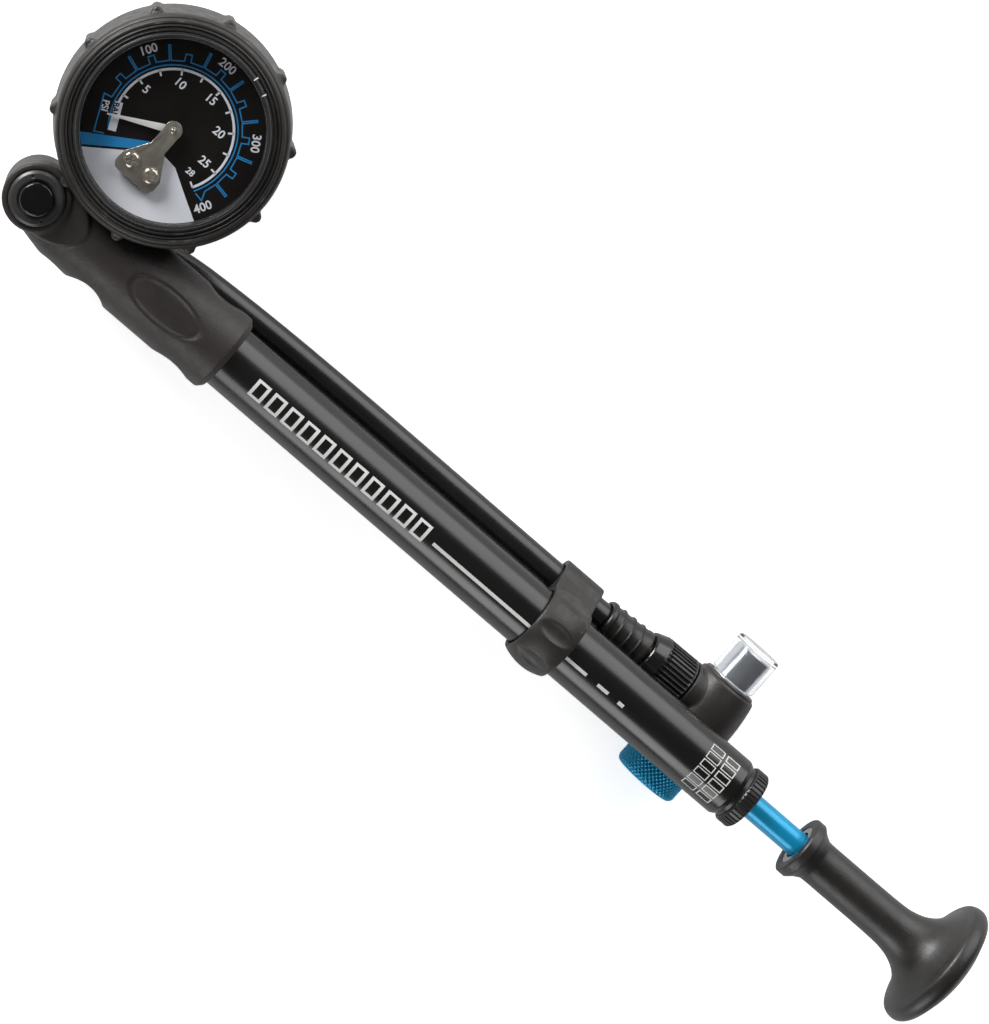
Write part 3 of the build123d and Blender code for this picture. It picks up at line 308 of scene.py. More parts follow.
@dataclass(frozen=True)
class Spin:
    """A straight axis that pieces are turned about.

    origin is the point of station 0, along is the axis's direction, and side is the direction of
    angle 0.
    """

    origin: np.ndarray
    along: np.ndarray
    side: np.ndarray

    def point(self, station: np.ndarray, radius: np.ndarray, angle: np.ndarray) -> np.ndarray:
        """The origin, plus station along the axis, plus radius outwards at the angle.

        Args:
            station: Distance along the axis, in metres.
            radius: Distance from the axis, in metres.
            angle: Angle from side by the right-hand rule about the axis, in radians.

        Returns:
            Points, with the three coordinates last.
        """
        other = np.cross(self.along, self.side)
        out = np.cos(angle)[..., None] * self.side + np.sin(angle)[..., None] * other
        return self.origin + station[..., None] * self.along + radius[..., None] * out


def middle(node: str) -> np.ndarray:
    """The middle of a CAD node's box."""
    low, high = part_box(node)
    return (np.array(low) + np.array(high)) / 2


def top_of(node: str) -> float:
    """How high a CAD node reaches over the barrel's middle, in millimetres."""
    return (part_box(node)[1].z - ORIGIN[2]) / MM


def foot_of(node: str) -> float:
    """How high a CAD node starts over the barrel's middle, in millimetres."""
    return (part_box(node)[0].z - ORIGIN[2]) / MM


def radius_of(node: str, along: int = 0) -> float:
    """Half a CAD node's size in millimetres: along the barrel, or upwards where along is 2."""
    low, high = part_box(node)
    return (high[along] - low[along]) / 2 / MM


def stations_of(node: str, along: int = 0) -> tuple[float, float]:
    """Where a CAD node starts and ends from the origin, in millimetres.

    Args:
        node: The node.
        along: 0 for along the barrel, or 1 for across it, which is along the chuck.

    Returns:
        The two stations.
    """
    low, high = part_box(node)
    return (low[along] - ORIGIN[along]) / MM, (high[along] - ORIGIN[along]) / MM


def joint(name: str) -> dict:
    """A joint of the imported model, by its name."""
    return next(j for j in frame["joints"] if j["name"] == name)


def linked(name: str, data: bpy.types.ID) -> bpy.types.Object:
    """Makes an object and links it into the scene.

    Args:
        name: The object's name.
        data: Its mesh, curve, light or camera.

    Returns:
        The new object.
    """
    piece = bpy.data.objects.new(name, data)
    bpy.context.scene.collection.objects.link(piece)
    return piece


X, Y, Z = np.eye(3)
BARREL_START = -106.0 * MM
ORIGIN = middle("barrel_tube")
ORIGIN[0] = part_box("barrel_tube")[0].x - BARREL_START
BARREL = Spin(ORIGIN, X, Z)
BOSS = Spin(np.array([*middle("bleed_collar")[:2], ORIGIN[2]]), Z, X)
GAUGE = Spin(np.array([*middle("gauge_dial")[:2], ORIGIN[2]]), Z, X)
CHUCK_MIDDLE = middle("valve_collar")
CHUCK = Spin(np.array([CHUCK_MIDDLE[0], ORIGIN[1], CHUCK_MIDDLE[2]]), Y, Z)
SWIVEL = joint("chuck_swivel")
NECK = Spin(np.array(SWIVEL["pos_m"]), np.array(SWIVEL["axis"]) / np.linalg.norm(SWIVEL["axis"]), Y)


def mesh_piece(name: str, points: np.ndarray, faces: list, sharp: float = 35.0) -> bpy.types.Object:
    """Makes a smooth-shaded mesh piece whose edges past an angle stay sharp.

    Args:
        name: The piece's name.
        points: Corner points, one row each.
        faces: Lists of point numbers.
        sharp: The angle in degrees past which an edge isn't smoothed.

    Returns:
        The new object, at the origin.
    """
    mesh = bpy.data.meshes.new(name)
    mesh.from_pydata(np.asarray(points, float).reshape(-1, 3).tolist(), [], faces)
    finish_mesh(mesh, sharp)
    return linked(name, mesh)


def finish_mesh(mesh: bpy.types.Mesh, sharp: float) -> None:
    """Joins a mesh's doubled points, points its faces outwards and shades it smooth.

    Args:
        mesh: The mesh.
        sharp: The angle in degrees past which an edge isn't smoothed.
    """
    work = bmesh.new()
    work.from_mesh(mesh)
    bmesh.ops.remove_doubles(work, verts=work.verts, dist=2e-7)
    bmesh.ops.recalc_face_normals(work, faces=work.faces)
    work.to_mesh(mesh)
    work.free()
    mesh.polygons.foreach_set("use_smooth", np.ones(len(mesh.polygons), bool))
    mesh.set_sharp_from_angle(angle=radians(sharp))
    mesh.update()


def quads(rows: int, columns: int, wrap_rows: bool, wrap_columns: bool) -> np.ndarray:
    """The faces of a grid of points, row after row, with either way wrapped round.

    Args:
        rows: How many rows of points there are.
        columns: How many points a row has.
        wrap_rows: Whether the last row joins the first.
        wrap_columns: Whether each row's last point joins its first.

    Returns:
        An array of four point numbers a face.
    """
    i = np.arange(rows if wrap_rows else rows - 1)
    j = np.arange(columns if wrap_columns else columns - 1)
    a, b = np.meshgrid(i, j, indexing="ij")
    c, d = (a + 1) % rows, (b + 1) % columns
    corners = [a * columns + b, a * columns + d, c * columns + d, c * columns + b]
    return np.stack(corners, -1).reshape(-1, 4)


def profile(*corners: tuple, ease: float = 0.25, step: float = 0.0) -> np.ndarray:
    """An outline with its corners rounded, from millimetres to metres.

    Each inner corner becomes a short parabola that starts and ends ease before and after it, or a
    third of the shorter side: the ends and the corner weighted by (1-t)^2, t^2 and 2t(1-t).

    Args:
        *corners: (station, radius) corners in millimetres.
        ease: How far from a corner its rounding starts.
        step: The largest distance between points, if it matters.

    Returns:
        (station, radius) rows in metres.
    """
    p = np.asarray(corners, float)
    out = [p[:1]]
    t = np.linspace(0, 1, 5)[:, None]
    for before, at, after in zip(p, p[1:], p[2:]):
        reach = min(ease, np.linalg.norm(at - before) / 3, np.linalg.norm(after - at) / 3)
        start = at + (before - at) / np.linalg.norm(before - at) * reach
        end = at + (after - at) / np.linalg.norm(after - at) * reach
        out.append((1 - t) ** 2 * start + 2 * t * (1 - t) * at + t**2 * end)
    line = np.concatenate(out + [p[-1:]])
    if step:
        counts = np.maximum(1, np.ceil(np.linalg.norm(np.diff(line, axis=0), axis=1) / step)).astype(int)
        runs = [a + (b - a) * (np.arange(n) / n)[:, None] for a, b, n in zip(line, line[1:], counts)]
        line = np.concatenate(runs + [line[-1:]])
    return line * MM


def flowing(points: Sequence[tuple], steps: int = 8) -> list:
    """A curve through points: on each run a cubic whose slope at a point is half the step from
    the point before it to the point after it.

    Args:
        points: The points that the curve goes through.
        steps: How many points each run gets.

    Returns:
        (station, radius) pairs in the points' own unit.
    """
    p = np.asarray([points[0], *points, points[-1]], float)
    out = []
    t = (np.arange(steps) / steps)[:, None]
    for a, b, c, d in zip(p, p[1:], p[2:], p[3:]):
        cubic = 2 * b + (c - a) * t + (2 * a - 5 * b + 4 * c - d) * t**2 + (3 * b - a - 3 * c + d) * t**3
        out += (cubic / 2).tolist()
    return [tuple(q) for q in out] + [tuple(points[-1])]


def turned(name: str, spin: Spin, outline: np.ndarray, segments: int = 128,
           relief: Optional[Relief] = None, ring: bool = False, sharp: float = 35.0) -> bpy.types.Object:
    """Turns an outline about an axis.

    The surface is the outline carried round the axis, with the relief's two amounts added to its
    station and radius. An outline that starts or ends on the axis is closed there with one point.

    Args:
        name: The piece's name.
        spin: The axis.
        outline: (station, radius) rows.
        segments: How many steps go round.
        relief: Gives what to add to station and radius, from arrays of station, radius and angle.
        ring: Whether the outline's end joins its start, as a ring's section does.
        sharp: The angle in degrees past which an edge isn't smoothed.

    Returns:
        The new object.
    """
    on_axis = outline[:, 1] < 1e-7
    first, last = int(on_axis[0]), len(outline) - int(on_axis[-1])
    angle = np.arange(segments) * 2 * pi / segments
    s, a = np.meshgrid(outline[first:last, 0], angle, indexing="ij")
    r = np.repeat(outline[first:last, 1][:, None], segments, axis=1)
    if relief is not None:
        rise, swell = relief(s, r, a)
        s, r = s + rise, r + swell
    points = spin.point(s, r, a).reshape(-1, 3)
    faces = quads(last - first, segments, ring, True).tolist()
    around = np.arange(segments)
    following = (around + 1) % segments
    for end, row in ((0, 0), (-1, last - first - 1)):
        if on_axis[end]:
            pole = np.full(segments, len(points))
            lid = np.stack([pole, row * segments + around, row * segments + following], 1)
            faces += lid.tolist()
            points = np.concatenate([points, spin.point(outline[end, :1], np.zeros(1), np.zeros(1))])
    return mesh_piece(name, points, faces, sharp)


def slab(name: str, outlines: Sequence[Sequence[tuple]], place: Callable[[np.ndarray], np.ndarray],
         low: float, high: float, edge: float = 0.0) -> bpy.types.Object:
    """Flat closed plates between two heights, carried to their place.

    Args:
        name: The piece's name.
        outlines: Each plate's corners, in millimetres.
        place: Turns rows of (x, y, height) in millimetres into points of the frame.
        low: The plates' underside, in millimetres.
        high: Their top.
        edge: How far their top edges are rounded, in millimetres.

    Returns:
        The new object.
    """
    points, faces = [], []
    for outline in outlines:
        corners = np.asarray(outline, float)
        first, n = sum(map(len, points)), len(corners)
        points += [np.column_stack([corners, np.full(n, height)]) for height in (low, high)]
        faces += [list(range(first, first + n)), list(range(first + 2 * n - 1, first + n - 1, -1))]
        for i in range(n):
            following = first + (i + 1) % n
            faces.append([first + i, first + n + i, following + n, following])
    piece = mesh_piece(name, place(np.concatenate(points)), faces, 30)
    if edge:
        bevel = piece.modifiers.new("edge", "BEVEL")
        bevel.width, bevel.segments, bevel.limit_method = edge * MM, 3, "ANGLE"
        bake(piece, 40)
    return piece


def bake(piece: bpy.types.Object, sharp: float) -> None:
    """Puts a piece's modifiers into its mesh.

    Args:
        piece: The piece.
        sharp: The angle in degrees past which an edge isn't smoothed.
    """
    depsgraph = bpy.context.evaluated_depsgraph_get()
    baked = bpy.data.meshes.new_from_object(piece.evaluated_get(depsgraph))
    piece.modifiers.clear()
    piece.data = baked
    baked.polygons.foreach_set("use_smooth", np.ones(len(baked.polygons), bool))
    baked.set_sharp_from_angle(angle=radians(sharp))


def ribbon(points: Sequence[tuple], width: float) -> list:
    """A line of a given width as one outline: each point is moved half the width to either side,
    along the mean of its two runs' normals, lengthened so that the width holds at corners.

    Args:
        points: The line's points.
        width: Its width, in the same unit.

    Returns:
        The outline's corners, in the points' own unit.
    """
    p = np.asarray(points, float)
    run = np.diff(p, axis=0)
    run /= np.linalg.norm(run, axis=1)[:, None]
    normal = np.column_stack([-run[:, 1], run[:, 0]])
    before, after = np.vstack([normal[:1], normal]), np.vstack([normal, normal[-1:]])
    mean = before + after
    mean /= (mean * mean).sum(1)[:, None] / 2
    side = mean * width / 2
    return np.concatenate([p + side, (p - side)[::-1]]).tolist()


def arc(radius: float, start: float, end: float, step: float = 2.0) -> list:
    """Points on a circle about (0, 0), between two angles in degrees."""
    angles = np.radians(np.linspace(start, end, max(2, int(abs(end - start) / step) + 1)))
    return np.column_stack([radius * np.cos(angles), radius * np.sin(angles)]).tolist()


def softened(name: str, node: str, cell: float, rounds: int) -> bpy.types.Object:
    """A moulded copy of a CAD piece, with every edge rounded as a mould leaves it.

    The piece's surface is merged and rebuilt on a grid of small cells, and each point is then
    moved halfway to the mean of its neighbours a number of times.

    Args:
        name: The new piece's name.
        node: The CAD node that it copies.
        cell: The size of the cells, in millimetres.
        rounds: How many times the points are evened out.

    Returns:
        The new object.
    """
    piece = copied(name, node)
    remesh = piece.modifiers.new("cells", "REMESH")
    remesh.mode, remesh.voxel_size = "VOXEL", cell * MM
    smooth = piece.modifiers.new("even", "SMOOTH")
    smooth.factor, smooth.iterations = 0.5, rounds
    bake(piece, 180)
    return piece


def copied(name: str, node: str, edge: float = 0.0) -> bpy.types.Object:
    """A copy of a CAD piece with its triangles joined and its sharp edges broken.

    Args:
        name: The new piece's name.
        node: The CAD node that it copies.
        edge: How far its edges are rounded, in millimetres.

    Returns:
        The new object.
    """
    mesh = frame["nodes"][node].data.copy()
    mesh.name = name
    mesh.materials.clear()
    piece = linked(name, mesh)
    finish_mesh(mesh, 30)
    if edge:
        work = bmesh.new()
        work.from_mesh(mesh)
        bmesh.ops.dissolve_limit(work, angle_limit=radians(1), verts=work.verts, edges=work.edges)
        work.to_mesh(mesh)
        work.free()
        bevel = piece.modifiers.new("edge", "BEVEL")
        bevel.width, bevel.segments, bevel.limit_method = edge * MM, 2, "ANGLE"
        bevel.angle_limit, bevel.use_clamp_overlap = radians(35), True
        bake(piece, 35)
    return piece


def pressed(piece: bpy.types.Object, depth: Callable[[np.ndarray], np.ndarray], along: np.ndarray) -> None:
    """Presses a pattern into a piece: each point moves along a direction by depth(points).

    Args:
        piece: The piece.
        depth: Gives each point's move in metres, from an array of points.
        along: The direction.
    """
    mesh = piece.data
    points = np.empty(len(mesh.vertices) * 3, np.float32)
    mesh.vertices.foreach_get("co", points)
    points = points.reshape(-1, 3).astype(float)
    moved = points + depth(points)[:, None] * along
    mesh.vertices.foreach_set("co", moved.astype(np.float32).ravel())
    mesh.update()


def dress(piece: bpy.types.Object, body: Body, finish: Finish, slot: str, *nodes: str) -> bpy.types.Object:
    """Gives a piece its finish and its body, and hides the CAD nodes that it stands for.

    Args:
        piece: The piece.
        body: The body that it moves with.
        finish: Its finish.
        slot: The record's material slot; not used.
        *nodes: CAD nodes that it replaces.

    Returns:
        The same piece.
    """
    piece.data.materials.clear()
    piece.data.materials.append(finish.build())
    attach(piece, body.value)
    if nodes:
        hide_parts(*nodes)
    log.info("%s rides on %s", piece.name, body.value)
    return piece


def step_up(value: np.ndarray, start: float, end: float) -> np.ndarray:
    """Rises smoothly from 0 at start to 1 at end: 3t^2 - 2t^3 of the share of the way."""
    t = np.clip((value - start) / (end - start), 0, 1)
    return t * t * (3 - 2 * t)


def zigzag(value: np.ndarray) -> np.ndarray:
    """A triangle wave of period 1 between 0 and 1, which is 1 at whole numbers."""
    return 2 * np.abs(value - np.floor(value) - 0.5)


def on_dial(rows: np.ndarray) -> np.ndarray:
    """Rows of (x, y, height) in millimetres from the dial's middle, as points of the frame."""
    return GAUGE.origin + np.asarray(rows, float) * MM


def on_barrel(radius: float) -> Callable[[np.ndarray], np.ndarray]:
    """Wraps rows of (station, distance round the barrel, height over its surface) round it.

    Args:
        radius: The barrel's radius, in metres.

    Returns:
        A function from such rows, in millimetres, to points of the frame.
    """
    def place(rows: np.ndarray) -> np.ndarray:
        """The rows on a cylinder: an arc's length over its radius is its angle."""
        s, across, height = np.asarray(rows, float).T * MM
        return BARREL.point(s, radius + height, across / radius)
    return place


# ------------------------------------------------------------------ barrel


@dataclass(frozen=True)
class Mark:
    """A printed bar on the barrel: its stations, and its place round the barrel."""

    start: float
    end: float
    low: float
    high: float


@dataclass
class Barrel:
    """The drawn tube with its printed marks, and the toothed cap that closes it."""

    wall: float = 1.75
    cap_teeth: int = 40
    tooth_depth: float = 0.35
    print_rise: float = 0.03
    box_height: float = 5.0
    box_length: float = 4.0
    box_pitch: float = 5.3
    box_start: float = -67.7
    box_count: int = 11
    box_line: float = 0.85
    box_middle: float = 0.75
    small_pitch: float = 2.45
    small_start: float = -6.1
    small_count: int = 6
    small_height: float = 2.0
    small_columns: tuple = ((79.8, 83.9, 0.28), (84.7, 88.9, 0.34))
    stripe: tuple = (-8.15, 43.1, 0.95, 1.85)
    dash: tuple = (46.8, 50.4, 0.95, 1.85)
    dot: tuple = (53.7, 55.5, 0.9, 1.9)
    mark_step: float = 0.4

    def build(self) -> None:
        """Makes the tube, the print and the cap."""
        self.radius = radius_of("barrel_tube", 2)
        self.start, self.end = stations_of("barrel_tube")
        self.tube()
        self.marks()
        self.cap()

    def tube(self) -> None:
        """The barrel's wall, chamfered at the cap."""
        bore = self.radius - self.wall
        outline = profile((self.start, bore), (self.start, self.radius), (self.end - 1.2, self.radius),
                          (self.end, self.radius - 0.6), (self.end, bore))
        shell = turned("barrel_shell", BARREL, outline, 224, ring=True)
        dress(shell, Body.PUMP, BARREL_BLACK, "black_anodised", "barrel_tube")

    def marks(self) -> None:
        """A row of plain hollow boxes, a long stripe, a dash, a dot and a block of small boxes."""
        frames = []
        for n in range(self.box_count):
            start = self.box_start + self.box_pitch * n
            frames += self.hollow(start, start + self.box_length, self.box_height / 2,
                                  self.box_line, self.box_middle)
        block = []
        for n in range(self.small_count):
            across = self.small_start + self.small_pitch * n
            for start, end, line in self.small_columns:
                block += self.hollow(start, end, self.small_height / 2, line, across)
        lines = [Mark(*sizes) for sizes in (self.stripe, self.dash, self.dot)]
        points, faces = [], []
        for mark in [*frames, *block, *lines]:
            self.add_mark(mark, points, faces)
        place = on_barrel(self.radius * MM)
        sheet = mesh_piece("barrel_print", place(np.concatenate(points)), faces)
        dress(sheet, Body.PUMP, PRINT_WHITE, "dial_print")

    @staticmethod
    def hollow(start: float, end: float, half: float, line: float, middle: float = 0.0) -> list[Mark]:
        """A plain hollow box, as the four bars of its outline.

        Args:
            start, end: Its stations.
            half: Half its height round the barrel.
            line: How wide its bars are.
            middle: Where its middle is round the barrel.

        Returns:
            The four bars.
        """
        low, high = middle - half, middle + half
        return [Mark(start, start + line, low, high), Mark(end - line, end, low, high),
                Mark(start + line, end - line, low, low + line * 0.8),
                Mark(start + line, end - line, high - line * 0.8, high)]

    def add_mark(self, mark: Mark, points: list, faces: list) -> None:
        """Adds one bar as a thin closed plate, in small steps round the barrel.

        Args:
            mark: The bar.
            points: The list that its corner points are added to.
            faces: The list that its faces are added to.
        """
        count = max(2, int((mark.high - mark.low) / self.mark_step) + 1)
        across = np.linspace(mark.low, mark.high, count)
        base = sum(map(len, points))
        for edge in (mark.start, mark.end):
            for height in (self.print_rise, -0.05):
                points.append(np.column_stack([np.full(count, edge), across, np.full(count, height)]))
        near_top, near_low, far_top, far_low = (base + count * k for k in range(4))
        sides = ((near_top, far_top), (near_low, far_low), (near_top, near_low), (far_top, far_low))
        for a, b in sides:
            faces += [[a + i, a + i + 1, b + i + 1, b + i] for i in range(count - 1)]
        for i in (0, count - 1):
            faces.append([near_top + i, far_top + i, far_low + i, near_low + i])

    def cap(self) -> None:
        """The cap's neck and its ring of rounded teeth, with a seat for the magnet in its face."""
        face, rim = stations_of("barrel_end_cap")[1], radius_of("barrel_end_cap", 2)
        neck, ring = rim - 0.9, top_of("cap_magnet")
        outline = profile(
            (self.end - 11.0, 5.0), (self.end - 11.0, 6.5), (self.end, 6.5), (self.end, neck),
            (self.end + 1.1, neck), (self.end + 1.1, rim - 0.45), (self.end + 1.6, rim), (face - 0.6, rim),
            (face, rim - 0.6), (face, ring + 0.05), (face - 0.25, ring + 0.05), (face - 0.25, 4.4),
            (self.end + 1.5, 4.4), (self.end + 1.5, 5.0), ease=0.15, step=0.2)

        def teeth(s: np.ndarray, r: np.ndarray, a: np.ndarray) -> tuple:
            """Rounded grooves across the ring's outer face, deepest halfway between teeth.

            Args:
                s: Stations, in metres.
                r: Radii, in metres.
                a: Angles, in radians.

            Returns:
                What to add to station and to radius.
            """
            outer = step_up(r, (neck + 0.1) * MM, (neck + 0.5) * MM)
            inside = step_up(s, (self.end + 1.2) * MM, (self.end + 1.9) * MM)
            groove = np.clip(np.cos(self.cap_teeth * a), 0, 1) ** 0.7
            return 0 * s, -self.tooth_depth * MM * outer * inside * groove

        piece = turned("end_cap_ring", BARREL, outline, self.cap_teeth * 12, teeth, ring=True)
        dress(piece, Body.PUMP, BEZEL_BLACK, "black_anodised", "barrel_end_cap")


# ------------------------------------------------------------------ grip sleeve and bleed valve


@dataclass
class GripSleeve:
    """The rubber sleeve over the pump's head, with finger scallops and an oval panel."""

    panel_station: float = -97.0
    panel_length: float = 20.9
    panel_width: float = 8.7
    rim_width: float = 0.5
    rim_depth: float = 0.4
    floor_depth: float = 0.12
    front_height: float = 8.0

    def build(self) -> None:
        """Makes the moulded sleeve and presses the bare oval panel into its front."""
        sleeve = softened("grip_sleeve_skin", "grip_sleeve", 0.36, 4)
        centre = ORIGIN[0] + self.panel_station * MM

        def panel(points: np.ndarray) -> np.ndarray:
            """A groove along the oval, and a slightly lower floor inside it.

            Args:
                points: The sleeve's points, one row each.

            Returns:
                How far each point moves along +Z, in metres.
            """
            u = (points[:, 0] - centre) / (self.panel_length / 2 * MM)
            v = (points[:, 1] - ORIGIN[1]) / (self.panel_width / 2 * MM)
            inside = np.sqrt(u * u + v * v)
            gap = (inside - 1) * self.panel_width / 2
            rim = self.rim_depth * np.exp(-((gap / self.rim_width * 1.6) ** 2))
            floor = self.floor_depth * (1 - step_up(gap, -0.6, 0))
            front = points[:, 2] > ORIGIN[2] + self.front_height * MM
            return np.where(front, -(rim + floor) * MM, 0)

        pressed(sleeve, panel, Z)
        dress(sleeve, Body.PUMP, RUBBER, "grip_rubber", "grip_sleeve")


@dataclass
class BleedValve:
    """The push button at the end of the head, in its collar with two key dimples."""

    dimple_r: float = 0.55
    dimple_depth: float = 0.5
    dimple_angles: tuple = (140.0, 320.0)

    def build(self) -> None:
        """Makes the collar and the glossy button."""
        top, outer = top_of("bleed_collar"), radius_of("bleed_collar")
        button_top, button_r = top_of("bleed_button"), radius_of("bleed_button")
        outline = profile(
            (top - 5.5, button_r + 0.1), (top - 5.5, outer - 1.3), (top - 1.5, outer - 1.3),
            (top - 1.5, outer), (top - 0.5, outer), (top, outer - 0.7), (top, button_r + 0.75),
            (top - 0.5, button_r + 0.1), ease=0.12, step=0.14)
        middle_r = (outer + button_r) / 2 * MM

        def dimples(s: np.ndarray, r: np.ndarray, a: np.ndarray) -> tuple:
            """Two round dimples in the top face: depth times (1 - d^2)^2 of the distance d.

            Args:
                s: Stations, in metres.
                r: Radii, in metres.
                a: Angles, in radians.

            Returns:
                What to add to station and to radius.
            """
            sunk = np.zeros_like(s)
            for angle in np.radians(self.dimple_angles):
                square = r * r + middle_r**2 - 2 * r * middle_r * np.cos(a - angle)
                sunk += np.clip(1 - square / (self.dimple_r * MM) ** 2, 0, 1) ** 2
            return -self.dimple_depth * MM * sunk * (s > (top - 0.6) * MM), 0 * s

        collar = turned("bleed_collar_ring", BOSS, outline, 256, dimples, ring=True, sharp=50)
        dress(collar, Body.PUMP, COLLAR_BLACK, "gauge_black", "bleed_collar")
        face = flowing([(button_top - 0.55, button_r), (button_top - 0.2, button_r - 0.28),
                        (button_top - 0.04, button_r - 0.75), (button_top, button_r - 1.5)])
        bottom = foot_of("bleed_button")
        shape = [(bottom, 0), (bottom, 1.2), (button_top - 5.9, 1.2), (button_top - 5.9, button_r), *face,
                 (button_top, 0)]
        piece = turned("bleed_button_cap", BOSS, profile(*shape, ease=0.02), 128)
        dress(piece, Body.BUTTON, BUTTON_BLACK, "gauge_black", "bleed_button")


# ------------------------------------------------------------------ gauge


@dataclass
class Gauge:
    """The pressure gauge: rubber boot, bezel, lens, printed dial, pointer and its bridge."""

    blue_low: float = 16.85
    blue_mid: float = 18.65
    blue_tall: float = 20.6
    tooth_pitch: float = 14.4
    bar_zero: float = 207.3
    bar_step: float = -8.505
    bar_full: float = 28.0
    white_radius: float = 14.75
    white_width: float = 0.62
    tick_foot: float = 13.3
    tick_top: float = 14.8
    tick_width: float = 0.46
    tick_step: float = 2.5
    blue_radius: float = 15.75
    blue_width: float = 0.34
    stepped_width: float = 0.32
    pointer_tip: float = 16.5
    pointer_rest: float = 207.0
    plate: float = 1.6
    crease_start: float = 5.6
    crease_end: float = 7.2
    crease_drop: float = 0.6

    def build(self) -> None:
        """Makes every piece of the gauge."""
        self.dial_top, self.dial_r = top_of("gauge_dial"), radius_of("gauge_dial")
        self.front, self.case_r = top_of("gauge_boot"), radius_of("gauge_case")
        self.boot()
        self.bezel()
        self.lens()
        self.dial()
        self.scales()
        self.numerals()
        self.pointer()
        self.bridge()

    def boot(self) -> None:
        """The moulded boot with its ribs, and the stepped rings round its front."""
        skin = softened("gauge_boot_skin", "gauge_boot", 0.42, 4)
        dress(skin, Body.PUMP, BOOT_RUBBER, "boot_black", "gauge_boot")
        outer, front = self.case_r + 4.3, self.front
        outline = profile(
            (front - 3.4, outer - 0.5), (front - 3.1, outer + 0.04), (front - 2.0, outer - 0.1),
            (front - 1.2, outer - 0.45), (front - 0.75, outer - 0.95), (front - 0.95, outer - 1.25),
            (front - 0.25, outer - 1.5), (front, outer - 1.9), (front, outer - 2.35),
            (front - 0.3, outer - 2.6), (front - 1.2, outer - 2.9), (front - 2.0, outer - 2.6), ease=0.2)
        lip = turned("gauge_boot_lip", GAUGE, outline, 256, ring=True, sharp=60)
        dress(lip, Body.PUMP, BOOT_RUBBER, "boot_black")

    def bezel(self) -> None:
        """The bezel ring that holds the lens, with a lip and a groove."""
        outer, front = self.case_r + 1.9, top_of("gauge_bezel")
        lens = outer - 2.0
        outline = profile(
            (front - 4.5, lens - 1.8), (front - 4.5, outer), (front - 1.0, outer),
            (front - 0.25, outer - 0.6), (front - 0.7, outer - 0.95), (front - 0.5, outer - 1.2),
            (front, outer - 1.45), (front, lens + 0.3), (front - 0.35, lens + 0.05),
            (front - 3.6, lens + 0.05), (front - 3.6, lens - 1.8), ease=0.12)
        piece = turned("gauge_bezel_ring", GAUGE, outline, 256, ring=True, sharp=50)
        dress(piece, Body.PUMP, BEZEL_BLACK, "gauge_black", "gauge_bezel")

    def lens(self) -> None:
        """The lens's rim with two thin pale rings that are painted highlight along its edges, two ticks, and its
        flat window.
        """
        rim, outer = top_of("gauge_lens"), radius_of("gauge_lens")
        window = outer - 1.8
        back, glass = rim - 2.8, rim - 1.3
        outline = profile(
            (back, window), (rim - 3.7, window + 0.3), (rim - 3.7, outer), (rim - 0.5, outer),
            (rim, outer - 0.5), (rim, window + 0.5), (glass, window), ease=0.2)
        ring = turned("gauge_lens_rim", GAUGE, outline, 256, ring=True, sharp=60)
        dress(ring, Body.PUMP, CLEAR_LENS, "clear_lens", "gauge_lens")
        plate = profile((back, 0), (back, window - 0.02), (glass, window - 0.02), (glass, 0))
        pane = turned("gauge_window", GAUGE, plate, 192)
        dress(pane, Body.PUMP, CLEAR_WINDOW, "clear_lens")
        # The two pale beads are painted highlight: thin bright lines standing in for light caught along the clear
        # lens's inner and outer edges.
        rings = ((window + 0.1, rim - 1.25), (outer - 0.75, rim - 0.3))
        for number, (radius, height) in enumerate(rings):
            section = profile((height, radius), (height, radius + 0.16), (height + 0.1, radius + 0.16),
                              (height + 0.1, radius), ease=0.03)
            highlight_bead = turned(f"gauge_lens_edge_{number + 1}", GAUGE, section, 256, ring=True)
            dress(highlight_bead, Body.PUMP, LENS_PAINTED_HIGHLIGHT, "clear_lens")
        inner = outer - 1.15
        ticks = [ribbon([self.at(angle, inner), self.at(angle, inner + length)], 0.34)
                 for angle, length in ((73.9, 1.3), (63.3, 1.1))]
        marks = slab("gauge_lens_ticks", ticks, on_dial, rim - 0.1, rim + 0.02, 0.05)
        dress(marks, Body.PUMP, PRINT_WHITE, "clear_lens")

    def dial(self) -> None:
        """The black dial plate with its blank blue band and blank white segment."""
        plate = copied("gauge_dial_plate", "gauge_dial")
        dress(plate, Body.PUMP, DIAL_BLACK, "dial_print", "gauge_dial")
        edge = self.dial_r - 0.15
        band = [self.at(222.0, edge), (-2.45, -5.9), (-1.0, -7.6), (-4.3, -9.8), self.at(229.8, edge)]
        white = [self.at(231.2, edge), (-4.8, -10.9), (-1.5, -7.2), (2.6, -6.3), (6.4, -6.7),
                 (12.4, -10.2), self.at(323.6, edge)]
        rim = [self.at(a, edge) for a in np.linspace(323.6, 231.2, 60)[1:-1]]
        self.printed("dial_band", [band], PRINT_BLUE)
        self.printed("dial_segment", [white + rim], DIAL_WHITE)

    def printed(self, name: str, outlines: list, finish: Finish, rise: float = 0.03) -> None:
        """Puts flat printed shapes on the dial.

        Args:
            name: The piece's name.
            outlines: Each shape's corners, in millimetres.
            finish: Their finish.
            rise: How far they stand over the dial, in millimetres.
        """
        flat = slab(name, outlines, on_dial, self.dial_top - 0.02, self.dial_top + rise)
        dress(flat, Body.PUMP, finish, "dial_print")

    @staticmethod
    def at(angle: float, radius: float) -> tuple:
        """The point at an angle in degrees and a radius, as x and y."""
        return radius * cos(radians(angle)), radius * sin(radians(angle))

    def bar_angle(self, bar: float) -> float:
        """The dial angle in degrees of a pressure in bar."""
        return self.bar_zero + self.bar_step * bar

